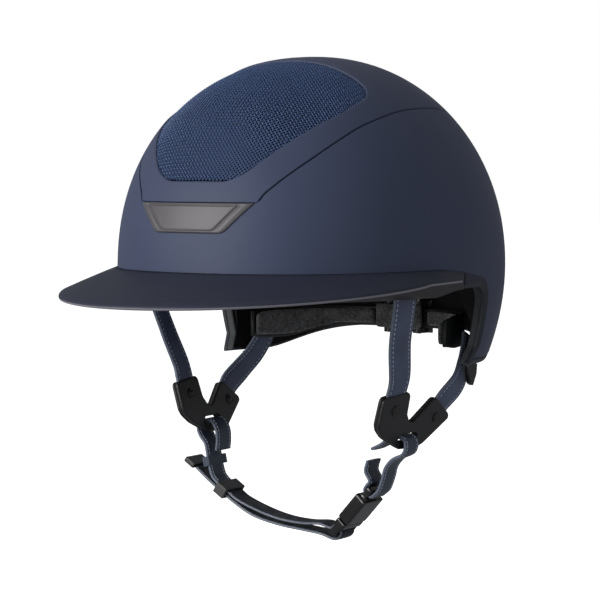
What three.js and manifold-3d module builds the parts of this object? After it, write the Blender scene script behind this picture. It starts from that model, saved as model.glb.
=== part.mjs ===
// Equestrian riding helmet with a wide peak, a meshed crown vent and a four-point harness.
// Millimetres, +Z up, the wearer faces -Y, and +X is the wearer's left.
// The origin is the middle of the head opening, on the level where the shell wall turns vertical.
import * as THREE from 'three';
import Module from 'manifold-3d';

const wasm = await Module();
wasm.setup();
const { Manifold } = wasm;

// ---------------------------------------------------------------- driving dimensions
const shell = {
  frontReach: 130.5, rearReach: 131, halfWidth: 102.8, centreY: 6.3, height: 127,
  planPower: 2.36, frontPower: 2.12, sidePower: 2.21, rearPower: 1.9,
  taperDepth: 70, rearTaper: 0.145, sideTaper: 0.136, wall: 2.8,
};
const gap = 0.4;                 // clearance between neighbouring pieces
const rimLevel = -8;             // lower edge of the shell at the front and the temples
const napeLevel = -56;           // lower edge of the shell behind the ears
const napeRise = { height: 14, startY: 68, endY: 124 };   // how that edge climbs towards the back
const earCorner = { y: 43.5, z: -20, toeY: 37 };
const foam = { thick: 19.5, napeThick: 4.6, thinStart: -8, thinEnd: -40 };
const trimBand = { depth: 3, inset: 7.8, startY: 10.6 };
const panel = { bottom: 40.6, rearBottom: 36, groove: 0.5 };
const vent = { bottom: 52.5, rearY: -25.5, recess: 1.1, thick: 1.4 };
const badgePlate = { top: 40, bottom: 23.2, topHalf: 39.5, bottomHalf: 23.6, proud: 1.9 };
const peakSize = {
  centreY: -40, reach: 145, halfWidth: 110, sweep: 106, edge: 2.6,
  frontEdgeZ: -16.6, sideEdgeZ: -7.4, rimZ: -15.5, endRimZ: -11.2, rimInset: 5.4,
};
const strap = { width: 18, thick: 2 };
const lead = { width: 15, thick: 1.8, y: -6 };
const divider = { plate: 1, slot: new THREE.Vector3(72, -6, -99), leanX: 0.28, turnY: 0.1 };
const rivet = { head: 3.3, shank: 1.6, headThick: 1.1 };
const wing = { pivotX: 11, pivotY: 109.3, thick: 2.2, top: -31.5, bottom: -44.5, pad: 4.6 };
const cradle = { faceY: 113.4, thick: 2.2, halfWidth: 18, top: -27, bottom: -48 };
const buckle = { mouth: [34.4, -151.6], tilt: 48, width: 21, thick: 8.6, length: 20, prong: 5.5 };
const slider = { middle: [-57.4, -141.2], tilt: -32 };

// ---------------------------------------------------------------- materials
const finish = (color, roughness, metalness = 0) =>
  new THREE.MeshStandardMaterial({ color, roughness, metalness });
const paint = finish(0x4b5268, 0.6);
const peakPaint = finish(0x31343f, 0.65);
const weave = finish(0x26406e, 0.55);
const badgePaint = finish(0x4b484c, 0.5);
const blackPlastic = finish(0x1d1c1d, 0.6);
const glossPlastic = finish(0x101013, 0.25);
const greyPlastic = finish(0x3c3d40, 0.6);
const foamBlack = finish(0x1b1c1e, 0.9);
const textile = finish(0x2a2c2f, 0.95);
const leather = finish(0x343c54, 0.55);
const webbing = finish(0x2a3348, 0.7);
const steel = finish(0x55565a, 0.35, 0.8);

// ---------------------------------------------------------------- solid helpers
function signedVolume(points, faces) {
  let sum = 0;
  for (const [a, b, c] of faces) {
    sum += points[a].dot(new THREE.Vector3().crossVectors(points[b], points[c]));
  }
  return sum / 6;
}

function solidOf(points, faces) {
  const outward = signedVolume(points, faces) > 0;
  const triangles = outward ? faces : faces.map(([a, b, c]) => [a, c, b]);
  const vertProperties = new Float32Array(points.flatMap((p) => [p.x, p.y, p.z]));
  return new Manifold(new wasm.Mesh({
    numProp: 3, vertProperties, triVerts: new Uint32Array(triangles.flat()),
  }));
}

// Joins closed rings of equal length into a tube, and closes both ends with a fan.
function loft(rings) {
  const count = rings[0].length;
  const points = rings.flat();
  const faces = [];
  for (let i = 0; i + 1 < rings.length; i += 1) {
    for (let j = 0; j < count; j += 1) {
      const next = (j + 1) % count;
      const a = i * count + j;
      const b = i * count + next;
      faces.push([a, b, b + count], [a, b + count, a + count]);
    }
  }
  for (const [ring, start] of [[rings[0], 0], [rings.at(-1), points.length - count]]) {
    const middle = ring.reduce((sum, p) => sum.clone().add(p), new THREE.Vector3());
    points.push(middle.divideScalar(count));
    for (let j = 0; j < count; j += 1) {
      const edge = [start + (j + 1) % count, start + j];
      faces.push([...(start === 0 ? edge : edge.reverse()), points.length - 1]);
    }
  }
  return solidOf(points, faces);
}

// A flat band along a smooth path: width runs along `across`, thickness square to it.
function ribbon(path, { width, thick, across, steps }) {
  const curve = new THREE.CatmullRomCurve3(path, false, 'centripetal');
  const rings = [];
  for (let i = 0; i <= steps; i += 1) {
    const t = i / steps;
    const centre = curve.getPoint(t);
    const side = across(t).clone().normalize();
    const normal = new THREE.Vector3().crossVectors(curve.getTangent(t), side).normalize();
    side.crossVectors(normal, curve.getTangent(t)).normalize();
    const halfWidth = (typeof width === 'function' ? width(t) : width) / 2;
    const corner = (w, n) => centre.clone()
      .addScaledVector(side, w * halfWidth).addScaledVector(normal, n * thick / 2);
    rings.push([corner(-1, -1), corner(1, -1), corner(1, 1), corner(-1, 1)]);
  }
  return loft(rings);
}

function extruded(outline, depth, { holes = [], toWorld }) {
  const shape = new THREE.Shape(outline.map(([x, y]) => new THREE.Vector2(x, y)));
  shape.holes = holes.map((hole) => new THREE.Path(hole.map(([x, y]) => new THREE.Vector2(x, y))));
  const { shape: flat, holes: cuts } = shape.extractPoints(1);
  const cross = new wasm.CrossSection([flat, ...cuts].map((ring) => ring.map((p) => [p.x, p.y])),
    'EvenOdd');
  return cross.extrude(depth).transform(toWorld.elements.slice());
}

const axes = (x, y, z, at = new THREE.Vector3()) =>
  new THREE.Matrix4().makeBasis(x, y, z).setPosition(at);
const X = new THREE.Vector3(1, 0, 0);
const Y = new THREE.Vector3(0, 1, 0);
const Z = new THREE.Vector3(0, 0, 1);

// Prisms that cut in plan, in side view and in front view.
const planPrism = (outline, low, high) =>
  extruded(outline, high - low, { toWorld: axes(X, Y, Z, new THREE.Vector3(0, 0, low)) });
const sidePrism = (outline) =>
  extruded(outline, 300, { toWorld: axes(Y, Z, X, new THREE.Vector3(-150, 0, 0)) });
const frontPrism = (outline, low, high) => extruded(outline, high - low, {
  toWorld: axes(Z, X, Y, new THREE.Vector3(0, low, 0)),
});

function box(low, high) {
  const size = high.map((value, i) => value - low[i]);
  return Manifold.cube(size).translate(low);
}

function arcPoints(cx, cy, radius, from, to, steps) {
  return Array.from({ length: steps + 1 }, (_, i) => {
    const angle = THREE.MathUtils.degToRad(from + (to - from) * i / steps);
    return [cx + radius * Math.cos(angle), cy + radius * Math.sin(angle)];
  });
}

const slotOutline = (cx, cy, width, height, steps = 4) => {
  const r = Math.min(width, height) / 2;
  const reach = Math.max(width, height) / 2 - r;
  const lying = width >= height;
  const [ax, ay] = lying ? [reach, 0] : [0, reach];
  const turn = lying ? 0 : 90;
  return [...arcPoints(cx + ax, cy + ay, r, turn - 90, turn + 90, steps),
    ...arcPoints(cx - ax, cy - ay, r, turn + 90, turn + 270, steps)];
};

const mirrored = (outline) => [...outline, ...outline.map(([x, y]) => [-x, y]).reverse()];

// ---------------------------------------------------------------- the shell's surface
// turn is 0 at the front, pi at the back; z is the level; inset moves the surface inwards.
function planRadius(turn, inset) {
  const along = -Math.cos(turn);
  const reach = (along < 0 ? shell.frontReach : shell.rearReach) - inset;
  const n = shell.planPower;
  const wide = (Math.abs(Math.sin(turn)) / (shell.halfWidth - inset)) ** n;
  return 1 / (wide + (Math.abs(along) / reach) ** n) ** (1 / n);
}

function surfacePoint(turn, lift, inset) {
  const side = Math.sin(turn) ** 2;
  const front = Math.max(Math.cos(turn), 0) ** 2;
  const rear = Math.max(-Math.cos(turn), 0) ** 2;
  const radius = planRadius(turn, inset);
  let scale;
  let z;
  if (lift >= 0) {
    const power = shell.frontPower * front + shell.rearPower * rear + shell.sidePower * side;
    scale = Math.cos(lift * Math.PI / 2) ** (2 / power);
    z = (shell.height - inset) * Math.sin(lift * Math.PI / 2) ** (2 / power);
  } else {
    z = lift * shell.taperDepth;
    scale = 1 - (shell.rearTaper * rear + shell.sideTaper * side) * lift ** 2;
  }
  return new THREE.Vector3(radius * scale * Math.sin(turn),
    shell.centreY - radius * scale * Math.cos(turn), z);
}

const wallPoint = (turn, z, inset) => surfacePoint(turn, Math.min(z / shell.taperDepth, 0), inset)
  .setZ(z);

// A closed double-walled dome between two insets, which may depend on the level below the rim.
function dome(outer, inner, { bottom, columns = 48, rows = 11, floorRows = 4, top = 1 }) {
  const insetAt = (inset, z) => (typeof inset === 'function' ? inset(z) : inset);
  const lifts = [];
  for (let i = 0; i < floorRows; i += 1) {
    lifts.push((bottom / shell.taperDepth) * (1 - i / floorRows));
  }
  for (let i = 0; i <= rows; i += 1) {
    lifts.push(top * i / rows);
  }
  const skin = (inset) => lifts.map((lift) => {
    const level = Math.min(lift, 0) * shell.taperDepth;
    return Array.from({ length: columns }, (_, i) =>
      surfacePoint(2 * Math.PI * i / columns, lift, insetAt(inset, level)));
  });
  const outside = skin(outer);
  const inside = skin(inner);
  const ringPoints = [...outside.slice(0, -1), ...inside.slice(0, -1)].flat();
  const half = ringPoints.length / 2;
  const points = [...ringPoints, outside.at(-1)[0], inside.at(-1)[0]];
  const faces = [];
  for (const [start, flip] of [[0, false], [half, true]]) {
    const push = (a, b, c) => faces.push(flip ? [a, c, b] : [a, b, c]);
    for (let row = 0; row + 1 < lifts.length; row += 1) {
      for (let i = 0; i < columns; i += 1) {
        const next = (i + 1) % columns;
        const a = start + row * columns + i;
        const b = start + row * columns + next;
        if (row + 2 < lifts.length) {
          push(a, b, b + columns);
          push(a, b + columns, a + columns);
        } else {
          push(a, b, points.length - (flip ? 1 : 2));
        }
      }
    }
  }
  for (let i = 0; i < columns; i += 1) {
    const next = (i + 1) % columns;
    faces.push([i, half + i, half + next], [i, half + next, next]);
  }
  return solidOf(points, faces);
}

// A curved patch of the wall between two insets, two turns and two levels.
function wallPatch(outer, inner, turns, lifts, columns, rows) {
  const rings = [];
  for (let i = 0; i <= columns; i += 1) {
    const turn = THREE.MathUtils.degToRad(turns[0] + (turns[1] - turns[0]) * i / columns);
    const column = (inset) => Array.from({ length: rows + 1 }, (_, j) =>
      surfacePoint(turn, lifts[0] + (lifts[1] - lifts[0]) * j / rows, inset));
    rings.push([...column(outer), ...column(inner).reverse()]);
  }
  return loft(rings);
}

// ---------------------------------------------------------------- assembly
const helmet = new THREE.Group();

function add(name, solid, material) {
  const data = solid.simplify(0.01).getMesh();
  const geometry = new THREE.BufferGeometry();
  geometry.setAttribute('position', new THREE.BufferAttribute(data.vertProperties, 3));
  geometry.setIndex(new THREE.BufferAttribute(data.triVerts, 1));
  const mesh = new THREE.Mesh(geometry, material);
  mesh.name = name;
  helmet.add(mesh);
}

function addPair(name, solid, material) {
  add(`${name}_left`, solid, material);
  add(`${name}_right`, solid.mirror([1, 0, 0]), material);
}

// The side profile above which the wall is kept: flat over the temple, down the ear opening, and
// rising again towards the back.
function rimProfile(drop) {
  const corner = arcPoints(earCorner.y - drop - 12, earCorner.z - drop, 12, 90, 0, 5);
  const nape = [0, 0.2, 0.4, 0.6, 0.8, 1].map((share) => [
    THREE.MathUtils.lerp(napeRise.startY, napeRise.endY, share),
    napeLevel - drop + napeRise.height * THREE.MathUtils.smoothstep(share, 0, 1)]);
  return [[-200, rimLevel - drop], [8, rimLevel - drop], ...corner,
    [earCorner.y - drop, -47], [earCorner.toeY - drop, napeLevel - drop], ...nape,
    [200, napeLevel + napeRise.height - drop], [200, 200], [-200, 200]];
}

// Plan outline of the crown panel and of the vent in it, right half from front to back.
const panelHalf = [[39.3, -140], [39.3, -113], [46.6, -106], [55, -96], [61.6, -85], [67, -71],
  [70.8, -54], [73.3, -35], [73.8, -12], [73.2, 8], [71.5, 27], [68, 46], [63, 64], [57, 82],
  [50, 102], [45, 140]];
const ventHalf = [[24, -140], [25.6, -112], [32, -108], [41.5, -98.4], [52.4, -82],
  [60.4, -61], [62.8, -42], [61.8, -33], [58, -27.5], [52, vent.rearY]];

const grown = (half, by) => half.map(([x, y]) => [x + by, y + (y === vent.rearY ? by : 0)]);

function crownCutter(growth) {
  const prism = planPrism(mirrored(grown(panelHalf, growth)), 20, 150);
  const front = panel.bottom - growth;
  const rear = panel.rearBottom - growth;
  return prism.intersect(sidePrism([[-150, front], [-40, front], [60, rear], [150, rear],
    [150, 150], [-150, 150]]));
}

function ventCutter(growth) {
  return planPrism(mirrored(grown(ventHalf, growth)), vent.bottom - growth, 150);
}

function makeShells() {
  const keep = sidePrism(rimProfile(0));
  const body = dome(0, shell.wall, { bottom: napeLevel }).intersect(keep);
  add('outer_shell', body.subtract(crownCutter(panel.groove)), paint);
  add('crown_panel', body.intersect(crownCutter(0)).subtract(ventCutter(0)), paint);
  const sheet = dome(vent.recess, vent.recess + vent.thick, { bottom: -1, floorRows: 1 });
  add('vent_mesh', sheet.intersect(ventCutter(-0.3)), weave);
}

function makeBadge() {
  const { top, bottom, topHalf, bottomHalf, proud } = badgePlate;
  const outline = [[top, 0], [top, topHalf - 2], [top - 2, topHalf], [bottom + 3, bottomHalf + 2.6],
    [bottom, bottomHalf - 1.5]];
  const ring = [...outline, ...outline.slice(1).map(([z, x]) => [z, -x]).reverse()];
  const skin = dome(-proud, -0.3, { bottom: -1, floorRows: 1 });
  add('front_badge', skin.intersect(frontPrism(ring, -140, -60)), badgePaint);
}

function makePeak() {
  const steps = 36;
  const rings = [];
  for (let i = 0; i <= steps; i += 1) {
    const t = THREE.MathUtils.degToRad(peakSize.sweep * (2 * i / steps - 1));
    const turn = t * 92 / peakSize.sweep;
    const forward = Math.max(Math.cos(t), 0);
    const edgeZ = peakSize.sideEdgeZ + (peakSize.frontEdgeZ - peakSize.sideEdgeZ) * forward ** 0.75;
    const end = THREE.MathUtils.smoothstep(Math.abs(THREE.MathUtils.radToDeg(t)), 82, peakSize.sweep);
    const rimZ = THREE.MathUtils.lerp(peakSize.rimZ, peakSize.endRimZ, end);
    const edge = new THREE.Vector3(peakSize.halfWidth * Math.sin(t),
      peakSize.centreY - peakSize.reach * Math.cos(t), edgeZ);
    const fade = Math.min(1, (peakSize.sweep - Math.abs(THREE.MathUtils.radToDeg(t))) / 14);
    const root = wallPoint(turn, 1 - 5 * (1 - fade), -gap);
    const between = (share, z) => root.clone().lerp(edge, share).setZ(z);
    const slope = (share) => root.z + (edgeZ + peakSize.edge - root.z) * share;
    const hollow = rimZ + (slope(0.4) - 5 - rimZ) * Math.min(forward * 1.6, 1);
    const lip = wallPoint(turn, rimLevel - gap, -gap);
    rings.push([root, between(0.5, slope(0.5) + 0.6 * forward),
      edge.clone().setZ(edgeZ + peakSize.edge), edge.clone(),
      between(0.4, Math.min(hollow, slope(0.4) - 4)), wallPoint(turn, rimZ, peakSize.rimInset),
      wallPoint(turn, rimLevel - gap, peakSize.rimInset), lip]);
  }
  add('peak', loft(rings), peakPaint);
}

const foamInset = (z) => {
  const share = THREE.MathUtils.smoothstep(foam.thinStart - z, 0, foam.thinStart - foam.thinEnd);
  return shell.wall + gap + THREE.MathUtils.lerp(foam.thick, foam.napeThick, share);
};

// Where a front strap climbs into the foam behind the peak.
const frontStrapTop = new THREE.Vector3(91, -37, -17);

function makeLiner() {
  const blank = dome(shell.wall + gap, foamInset, { bottom: napeLevel, floorRows: 5 });
  const airSlots = [-36, -13, 13, 36].map((x) =>
    planPrism(slotOutline(x, -62 - 0.16 * Math.abs(x), 9, 46), 20, 150));
  const strapSlot = box([87.2, frontStrapTop.y - 11, -20], [95, frontStrapTop.y + 11, 6]);
  const stemPocket = box([-10, 105, -60], [10, 121, 20]);
  const cuts = Manifold.union([...airSlots, strapSlot, strapSlot.mirror([1, 0, 0]), stemPocket]);
  add('foam_liner', blank.intersect(sidePrism(rimProfile(0))).subtract(cuts), foamBlack);
}

function makeTrim() {
  const { depth, inset } = trimBand;
  const ring = dome(0.2, inset, { bottom: napeLevel - gap - depth, rows: 1, floorRows: 6, top: 0.02 });
  const outer = sidePrism(rimProfile(gap + depth));
  const inner = sidePrism(rimProfile(gap));
  const band = ring.intersect(outer).subtract(inner);
  const earSide = box([0, trimBand.startY, -90], [150, earCorner.y + 8, -2]);
  addPair('ear_trim', band.intersect(earSide), blackPlastic);
  const napeSide = box([-150, earCorner.y + 8 + gap, -90], [150, 150, -2]);
  add('nape_trim', band.intersect(napeSide), blackPlastic);
}

function makePads() {
  const face = shell.wall + gap + foam.thick + 1;
  add('brow_pad', wallPatch(face, face + 5, [-58, 58], [-0.12, 0.14], 18, 2), textile);
  addPair('temple_pad', wallPatch(face, face + 4, [84, 126], [0.04, 0.3], 6, 3), textile);
  const cap = dome(face + 0.6, face + 5, { bottom: -1, rows: 10, floorRows: 1, columns: 32 });
  const crownOutline = slotOutline(0, 4, 96, 118, 8);
  add('crown_pad', cap.intersect(planPrism(crownOutline, 60, 130)), textile);
}

// ---------------------------------------------------------------- nape cradle
const wingPath = [[wing.pivotX, wing.pivotY], [24, 108.3], [42, 101], [56, 88], [66, 70],
  [71, 52], [72, 39]];

function wingBand(offset, thick, top, bottom, from = 0) {
  const curve = new THREE.CatmullRomCurve3(wingPath.map(([x, y]) => new THREE.Vector3(x, y, 0)));
  const rings = [];
  const steps = 14;
  for (let i = 0; i <= steps; i += 1) {
    const t = from + (1 - from) * i / steps;
    const place = curve.getPoint(t);
    const outward = new THREE.Vector3().crossVectors(curve.getTangent(t), Z).normalize().negate();
    const flare = THREE.MathUtils.smoothstep(t, 0.1, 0.6);
    const tip = THREE.MathUtils.smoothstep(t, 0.8, 1);
    const high = top + 0.6 * flare - 2 * tip;
    const low = bottom - 6.5 * THREE.MathUtils.smoothstep(t, 0.35, 0.7) + 1.5 * tip;
    const at = (shift, z) => place.clone().addScaledVector(outward, shift).setZ(z);
    rings.push([at(offset, low), at(offset + thick, low), at(offset + thick, high), at(offset, high)]);
  }
  return loft(rings);
}

function makeCradle() {
  const { faceY, thick, halfWidth, top, bottom } = cradle;
  const plate = box([-halfWidth, faceY, bottom], [halfWidth, faceY + thick, top]);
  const stem = box([-7, faceY, top - 1], [7, faceY + thick, -6]);
  const lug = (x, low, high) => Manifold.union([
    Manifold.cylinder(high - low, 4, 4, 16).translate([x, wing.pivotY, low]),
    box([x - 4, wing.pivotY, low], [x + 4, faceY + 0.5, high])]);
  const lugs = [-wing.pivotX, wing.pivotX].flatMap((x) => [
    lug(x, wing.top + gap, top), lug(x, bottom, wing.bottom - gap)]);
  const pinHoles = [-wing.pivotX, wing.pivotX].map((x) =>
    Manifold.cylinder(40, 1.7, 1.7, 12).translate([x, wing.pivotY, -60]));
  const body = Manifold.union([plate, stem, ...lugs]).subtract(Manifold.union(pinHoles));
  add('cradle_frame', body, blackPlastic);
  const pin = Manifold.cylinder(top - bottom + 1, 1.4, 1.4, 12);
  addPair('wing_pin', pin.translate([wing.pivotX, wing.pivotY, bottom - 0.5]), steel);
  const padFace = wing.pivotY - 4 - gap;
  const pad = box([-halfWidth, padFace - wing.pad, bottom + 2], [halfWidth, padFace, top - 1.5]);
  add('nape_pad_middle', pad, textile);
}

function makeWings() {
  const band = wingBand(-wing.thick / 2, wing.thick, wing.top, wing.bottom);
  const barrel = Manifold.cylinder(wing.top - wing.bottom, 3.3, 3.3, 16)
    .translate([wing.pivotX, wing.pivotY, wing.bottom]);
  const hole = Manifold.cylinder(60, 1.8, 1.8, 12).translate([wing.pivotX, wing.pivotY, -70]);
  addPair('nape_wing', band.add(barrel).subtract(hole), blackPlastic);
  const inner = -wing.thick / 2 - gap - wing.pad;
  addPair('nape_pad', wingBand(inner, wing.pad, wing.top - 1, wing.bottom + 1, 0.12), textile);
}

// ---------------------------------------------------------------- harness
// The divider's own axes: w runs backwards along the cheek, h up, n outwards.
const back = new THREE.Vector3(divider.turnY, 1, 0).normalize();
const up = new THREE.Vector3(divider.leanX, 0, 1).normalize();
const out = new THREE.Vector3().crossVectors(back, up).normalize();
up.crossVectors(out, back).normalize();
const onDivider = (w, h, n = 0) => divider.slot.clone()
  .addScaledVector(back, w).addScaledVector(up, h).addScaledVector(out, n);

const dividerOutline = [[-29.5, 27], [-8, 29], [-6, 27], [-5, 15], ...arcPoints(1.5, 14.5, 5, 200, 320, 4),
  [19, 22.5], [22, 22.5], [37, 11.5], [37.5, 8.5], [17, -5.5], [11, -7.5], [-6, -7], [-23, 1],
  [-29, 6], [-31, 10], [-31, 25]];
const snapPlaces = { front: [-18, 18.5], rear: [24.5, 10.5] };
const layer = strap.thick / 2 + 0.3;

const circle = (cx, cy, r) => arcPoints(cx, cy, r, 0, 330, 11);

function makeDividers() {
  const holes = [slotOutline(0, 0, lead.width + 3, 5.4),
    ...Object.values(snapPlaces).map(([w, h]) => circle(w, h, rivet.shank + 0.25))];
  const plate = (n) => extruded(dividerOutline, divider.plate, {
    holes, toWorld: axes(back, up, out, onDivider(0, 0, n)),
  });
  addPair('divider_cover', plate(layer), blackPlastic);
  addPair('divider_base', plate(-layer - divider.plate), blackPlastic);
  for (const [place, [w, h]] of Object.entries(snapPlaces)) {
    const reach = layer + divider.plate + 0.15;
    const disc = (r, low, high) => extruded(circle(w, h, r), high - low, {
      toWorld: axes(back, up, out, onDivider(0, 0, low)),
    });
    const snap = Manifold.union([disc(rivet.shank, -reach - 0.2, reach + 0.2),
      disc(rivet.head, reach, reach + rivet.headThick),
      disc(rivet.head, -reach - rivet.headThick, -reach)]);
    addPair(`snap_${place}`, snap, blackPlastic);
  }
}

function snapHole([w, h]) {
  return extruded(circle(w, h, rivet.shank + 0.25), 20, {
    toWorld: axes(back, up, out, onDivider(0, 0, -10)),
  });
}

function makeHarness() {
  const [fw] = snapPlaces.front;
  const frontPath = [new THREE.Vector3(91, -37, -2), frontStrapTop, new THREE.Vector3(84.8, -32, -42),
    onDivider(fw, 37), onDivider(fw, 29), onDivider(fw, 20), onDivider(fw, 10.5)];
  const front = ribbon(frontPath, {
    width: strap.width, thick: strap.thick, steps: 16,
    across: (t) => new THREE.Vector3(0.23, 1, 0).lerp(back, Math.min(1, t * 1.6)),
  });
  addPair('front_strap', front.subtract(snapHole(snapPlaces.front)), leather);
  const arm = new THREE.Vector3().subVectors(onDivider(32, 22), onDivider(13, -3)).normalize();
  const armSide = new THREE.Vector3().crossVectors(arm, out).normalize();
  const [rw, rh] = snapPlaces.rear;
  const along = (s) => onDivider(rw, rh + 1.5).addScaledVector(arm, s);
  const rearPath = [new THREE.Vector3(75.6, 61, -43), new THREE.Vector3(76.6, 57.5, -52),
    new THREE.Vector3(78.6, 50.5, -61.5), new THREE.Vector3(81, 40, -70.5), along(9), along(0), along(-8)];
  const rear = ribbon(rearPath, {
    width: (t) => strap.width - 2 - 2 * (1 - t), thick: strap.thick, steps: 20,
    across: (t) => new THREE.Vector3(-0.2, 1, 0).lerp(armSide, THREE.MathUtils.smoothstep(t, 0.1, 0.6)),
  });
  addPair('rear_strap', rear.subtract(snapHole(snapPlaces.rear)), leather);
  addStrapClips();
}

// The clip under the foot of the ear opening that the rear strap leaves the rim beside.
function addStrapClips() {
  const outline = [[46.5, -60], [57, -60], [56, -66.5], [51.8, -73], [48.6, -71.6], [46.5, -66]];
  const plate = extruded(outline, 3, { toWorld: axes(Y, Z, X, new THREE.Vector3(82.2, 0, 0)) });
  addPair('strap_clip', plate, blackPlastic);
}

const chinPoint = ([x, z]) => new THREE.Vector3(x, lead.y, z);

function chinRibbon(path, steps, options = {}) {
  return ribbon(path.map(chinPoint), {
    width: lead.width, thick: lead.thick, steps, across: () => Y, ...options,
  });
}

// Places in the chin strap's plane, along (s) and square to (n) the buckle and the slider.
function inFrame([x, z], tilt, s, n) {
  const angle = THREE.MathUtils.degToRad(tilt);
  return [x + s * Math.cos(angle) - n * Math.sin(angle), z + s * Math.sin(angle) + n * Math.cos(angle)];
}

const onBuckle = (s, n) => inFrame(buckle.mouth, buckle.tilt, s, n);
const onSlider = (s, n) => inFrame(slider.middle, slider.tilt, s, n);

// Each lead comes through the divider's slot, turns over its lower bar and leaves a short tail.
const overBar = [[69.5, -98.1], [72.4, -99], [75.6, -100.6], [76.5, -104.6], [74.6, -108.8]];
const leftTail = [[53, -107.2], [60, -103.6], [66, -98.8]];
const rightTail = [[62.2, -117], [61.6, -110.5], [62.4, -104], [65.6, -99.2]];

function makeLeads() {
  const barTurn = [[30, -4], [26.5, -3.7], [23.6, -2.9], [22.9, 0], [23.6, 2.9], [26.5, 3.7],
    [30, 4]].map(([s, n]) => onBuckle(s, n));
  const leftRoute = [...leftTail, ...overBar, [67.5, -112.4], [62.6, -118], [60.6, -124.5], ...barTurn,
    [48.6, -121], [50.2, -114.6]];
  add('lead_strap_left', chinRibbon(leftRoute, 60), leather);
  const rightLoop = [...rightTail, ...overBar, [72.4, -110.8]];
  add('slot_loop_right', chinRibbon(rightLoop, 30).mirror([1, 0, 0]), leather);
  const rightRoute = [[-70.8, -113.4], [-69.2, -120], [-67.4, -128], [-65.2, -133.6],
    onSlider(-5, 1.3), onSlider(-1.2, 1.3)];
  add('lead_strap_right', chinRibbon(rightRoute, 16), leather);
}

function frameAlong(at, tilt) {
  const angle = THREE.MathUtils.degToRad(tilt);
  const run = new THREE.Vector3(Math.cos(angle), 0, Math.sin(angle));
  const rise = new THREE.Vector3().crossVectors(run, Y);
  return axes(Y, rise, run, chinPoint(at));
}

const placedBox = (half, low, high, frame) =>
  box([-half[0], -half[1], low], [half[0], half[1], high]).transform(frame.elements.slice());

function makeKeepers() {
  const frame = frameAlong([-68.4, -124], -77);
  const ring = (halfWidth, halfThick) => placedBox([halfWidth, halfThick], -3, 3, frame);
  const hole = placedBox([lead.width / 2 + gap, lead.thick / 2 + gap], -5, 5, frame);
  add('lead_keeper_right', ring(lead.width / 2 + 1.8, 2.4).subtract(hole), leather);
}

function makeChinStrap() {
  const lowerRun = [[-78, -128.8], onSlider(-11, -1.3), onSlider(0, -1.3), onSlider(11, -1.3),
    [-34, -155], [-15, -158.8], [4, -160.4], [17, -161.6]];
  const barTurn = [[-14.2, -2.4], [-11, -3.8], [-7.9, -3], [-7.5, 0], [-7.9, 3], [-11, 3.8]]
    .map(([s, n]) => onBuckle(s, n));
  const upperRun = [[16, -155.6], [3, -156.4], [-14, -155.4], [-32, -151.4], onSlider(11, 1.3),
    onSlider(6, 1.3), onSlider(1.2, 1.3)];
  const route = [...lowerRun, ...barTurn, ...upperRun];
  add('chin_strap', chinRibbon(route, 64, { thick: 1.4 }), webbing);
  const capFrame = frameAlong([-80, -127.5], 147);
  const cap = placedBox([lead.width / 2 + 0.8, 1.7], -1, 7, capFrame);
  const pocket = placedBox([lead.width / 2 + 0.3, 1], -3, 4, capFrame);
  add('strap_end', cap.subtract(pocket), greyPlastic);
  const frame = frameAlong(slider.middle, slider.tilt);
  const body = placedBox([lead.width / 2 + 2.4, 3.6], -4.2, 4.2, frame);
  const channel = placedBox([lead.width / 2 + 0.6, 2.7], -6, 6, frame);
  add('chin_slider', body.subtract(channel), greyPlastic);
}

function makeBuckle() {
  const frame = frameAlong(buckle.mouth, buckle.tilt);
  const { width, thick, length, prong } = buckle;
  const half = width / 2;
  const mouth = placedBox([half - 2.6, thick / 2 - 1.2], -1, prong + 3, frame);
  const neck = placedBox([half - 1.5, 2.2], length - 1, length + 8, frame);
  const strapGap = placedBox([lead.width / 2 + 0.6, 4], length + 1, length + 4.8, frame);
  const socket = placedBox([half, thick / 2], 0, length, frame).add(neck);
  add('buckle_female', socket.subtract(mouth).subtract(strapGap), glossPlastic);
  const offset = -(thick / 2 - 1.2 - 0.4 - 1.2);
  const tongueFrame = frame.clone().multiply(new THREE.Matrix4().makeTranslation(0, offset, 0));
  const tongue = placedBox([half - 3.2, 1.2], -2, prong, tongueFrame);
  const base = placedBox([half, thick / 2 - 0.6], -5, -gap, frame);
  const slotFrame = placedBox([half, 2.6], -12.5, -4, frame);
  const slotGap = placedBox([lead.width / 2 + 0.6, 4], -9.6, -5.4, frame);
  add('buckle_male', Manifold.union([base, slotFrame.subtract(slotGap), tongue]), glossPlastic);
}

makeShells();
makeBadge();
makePeak();
makeLiner();
makeTrim();
makePads();
makeCradle();
makeWings();
makeDividers();
makeHarness();
makeLeads();
makeKeepers();
makeChinStrap();
makeBuckle();

export default helmet;
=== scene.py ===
"""Looks of the equestrian riding helmet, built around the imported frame.

Metres, +Z up, the wearer faces -Y. Routes and outlines of the harness are in millimetres.
"""

import math

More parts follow.
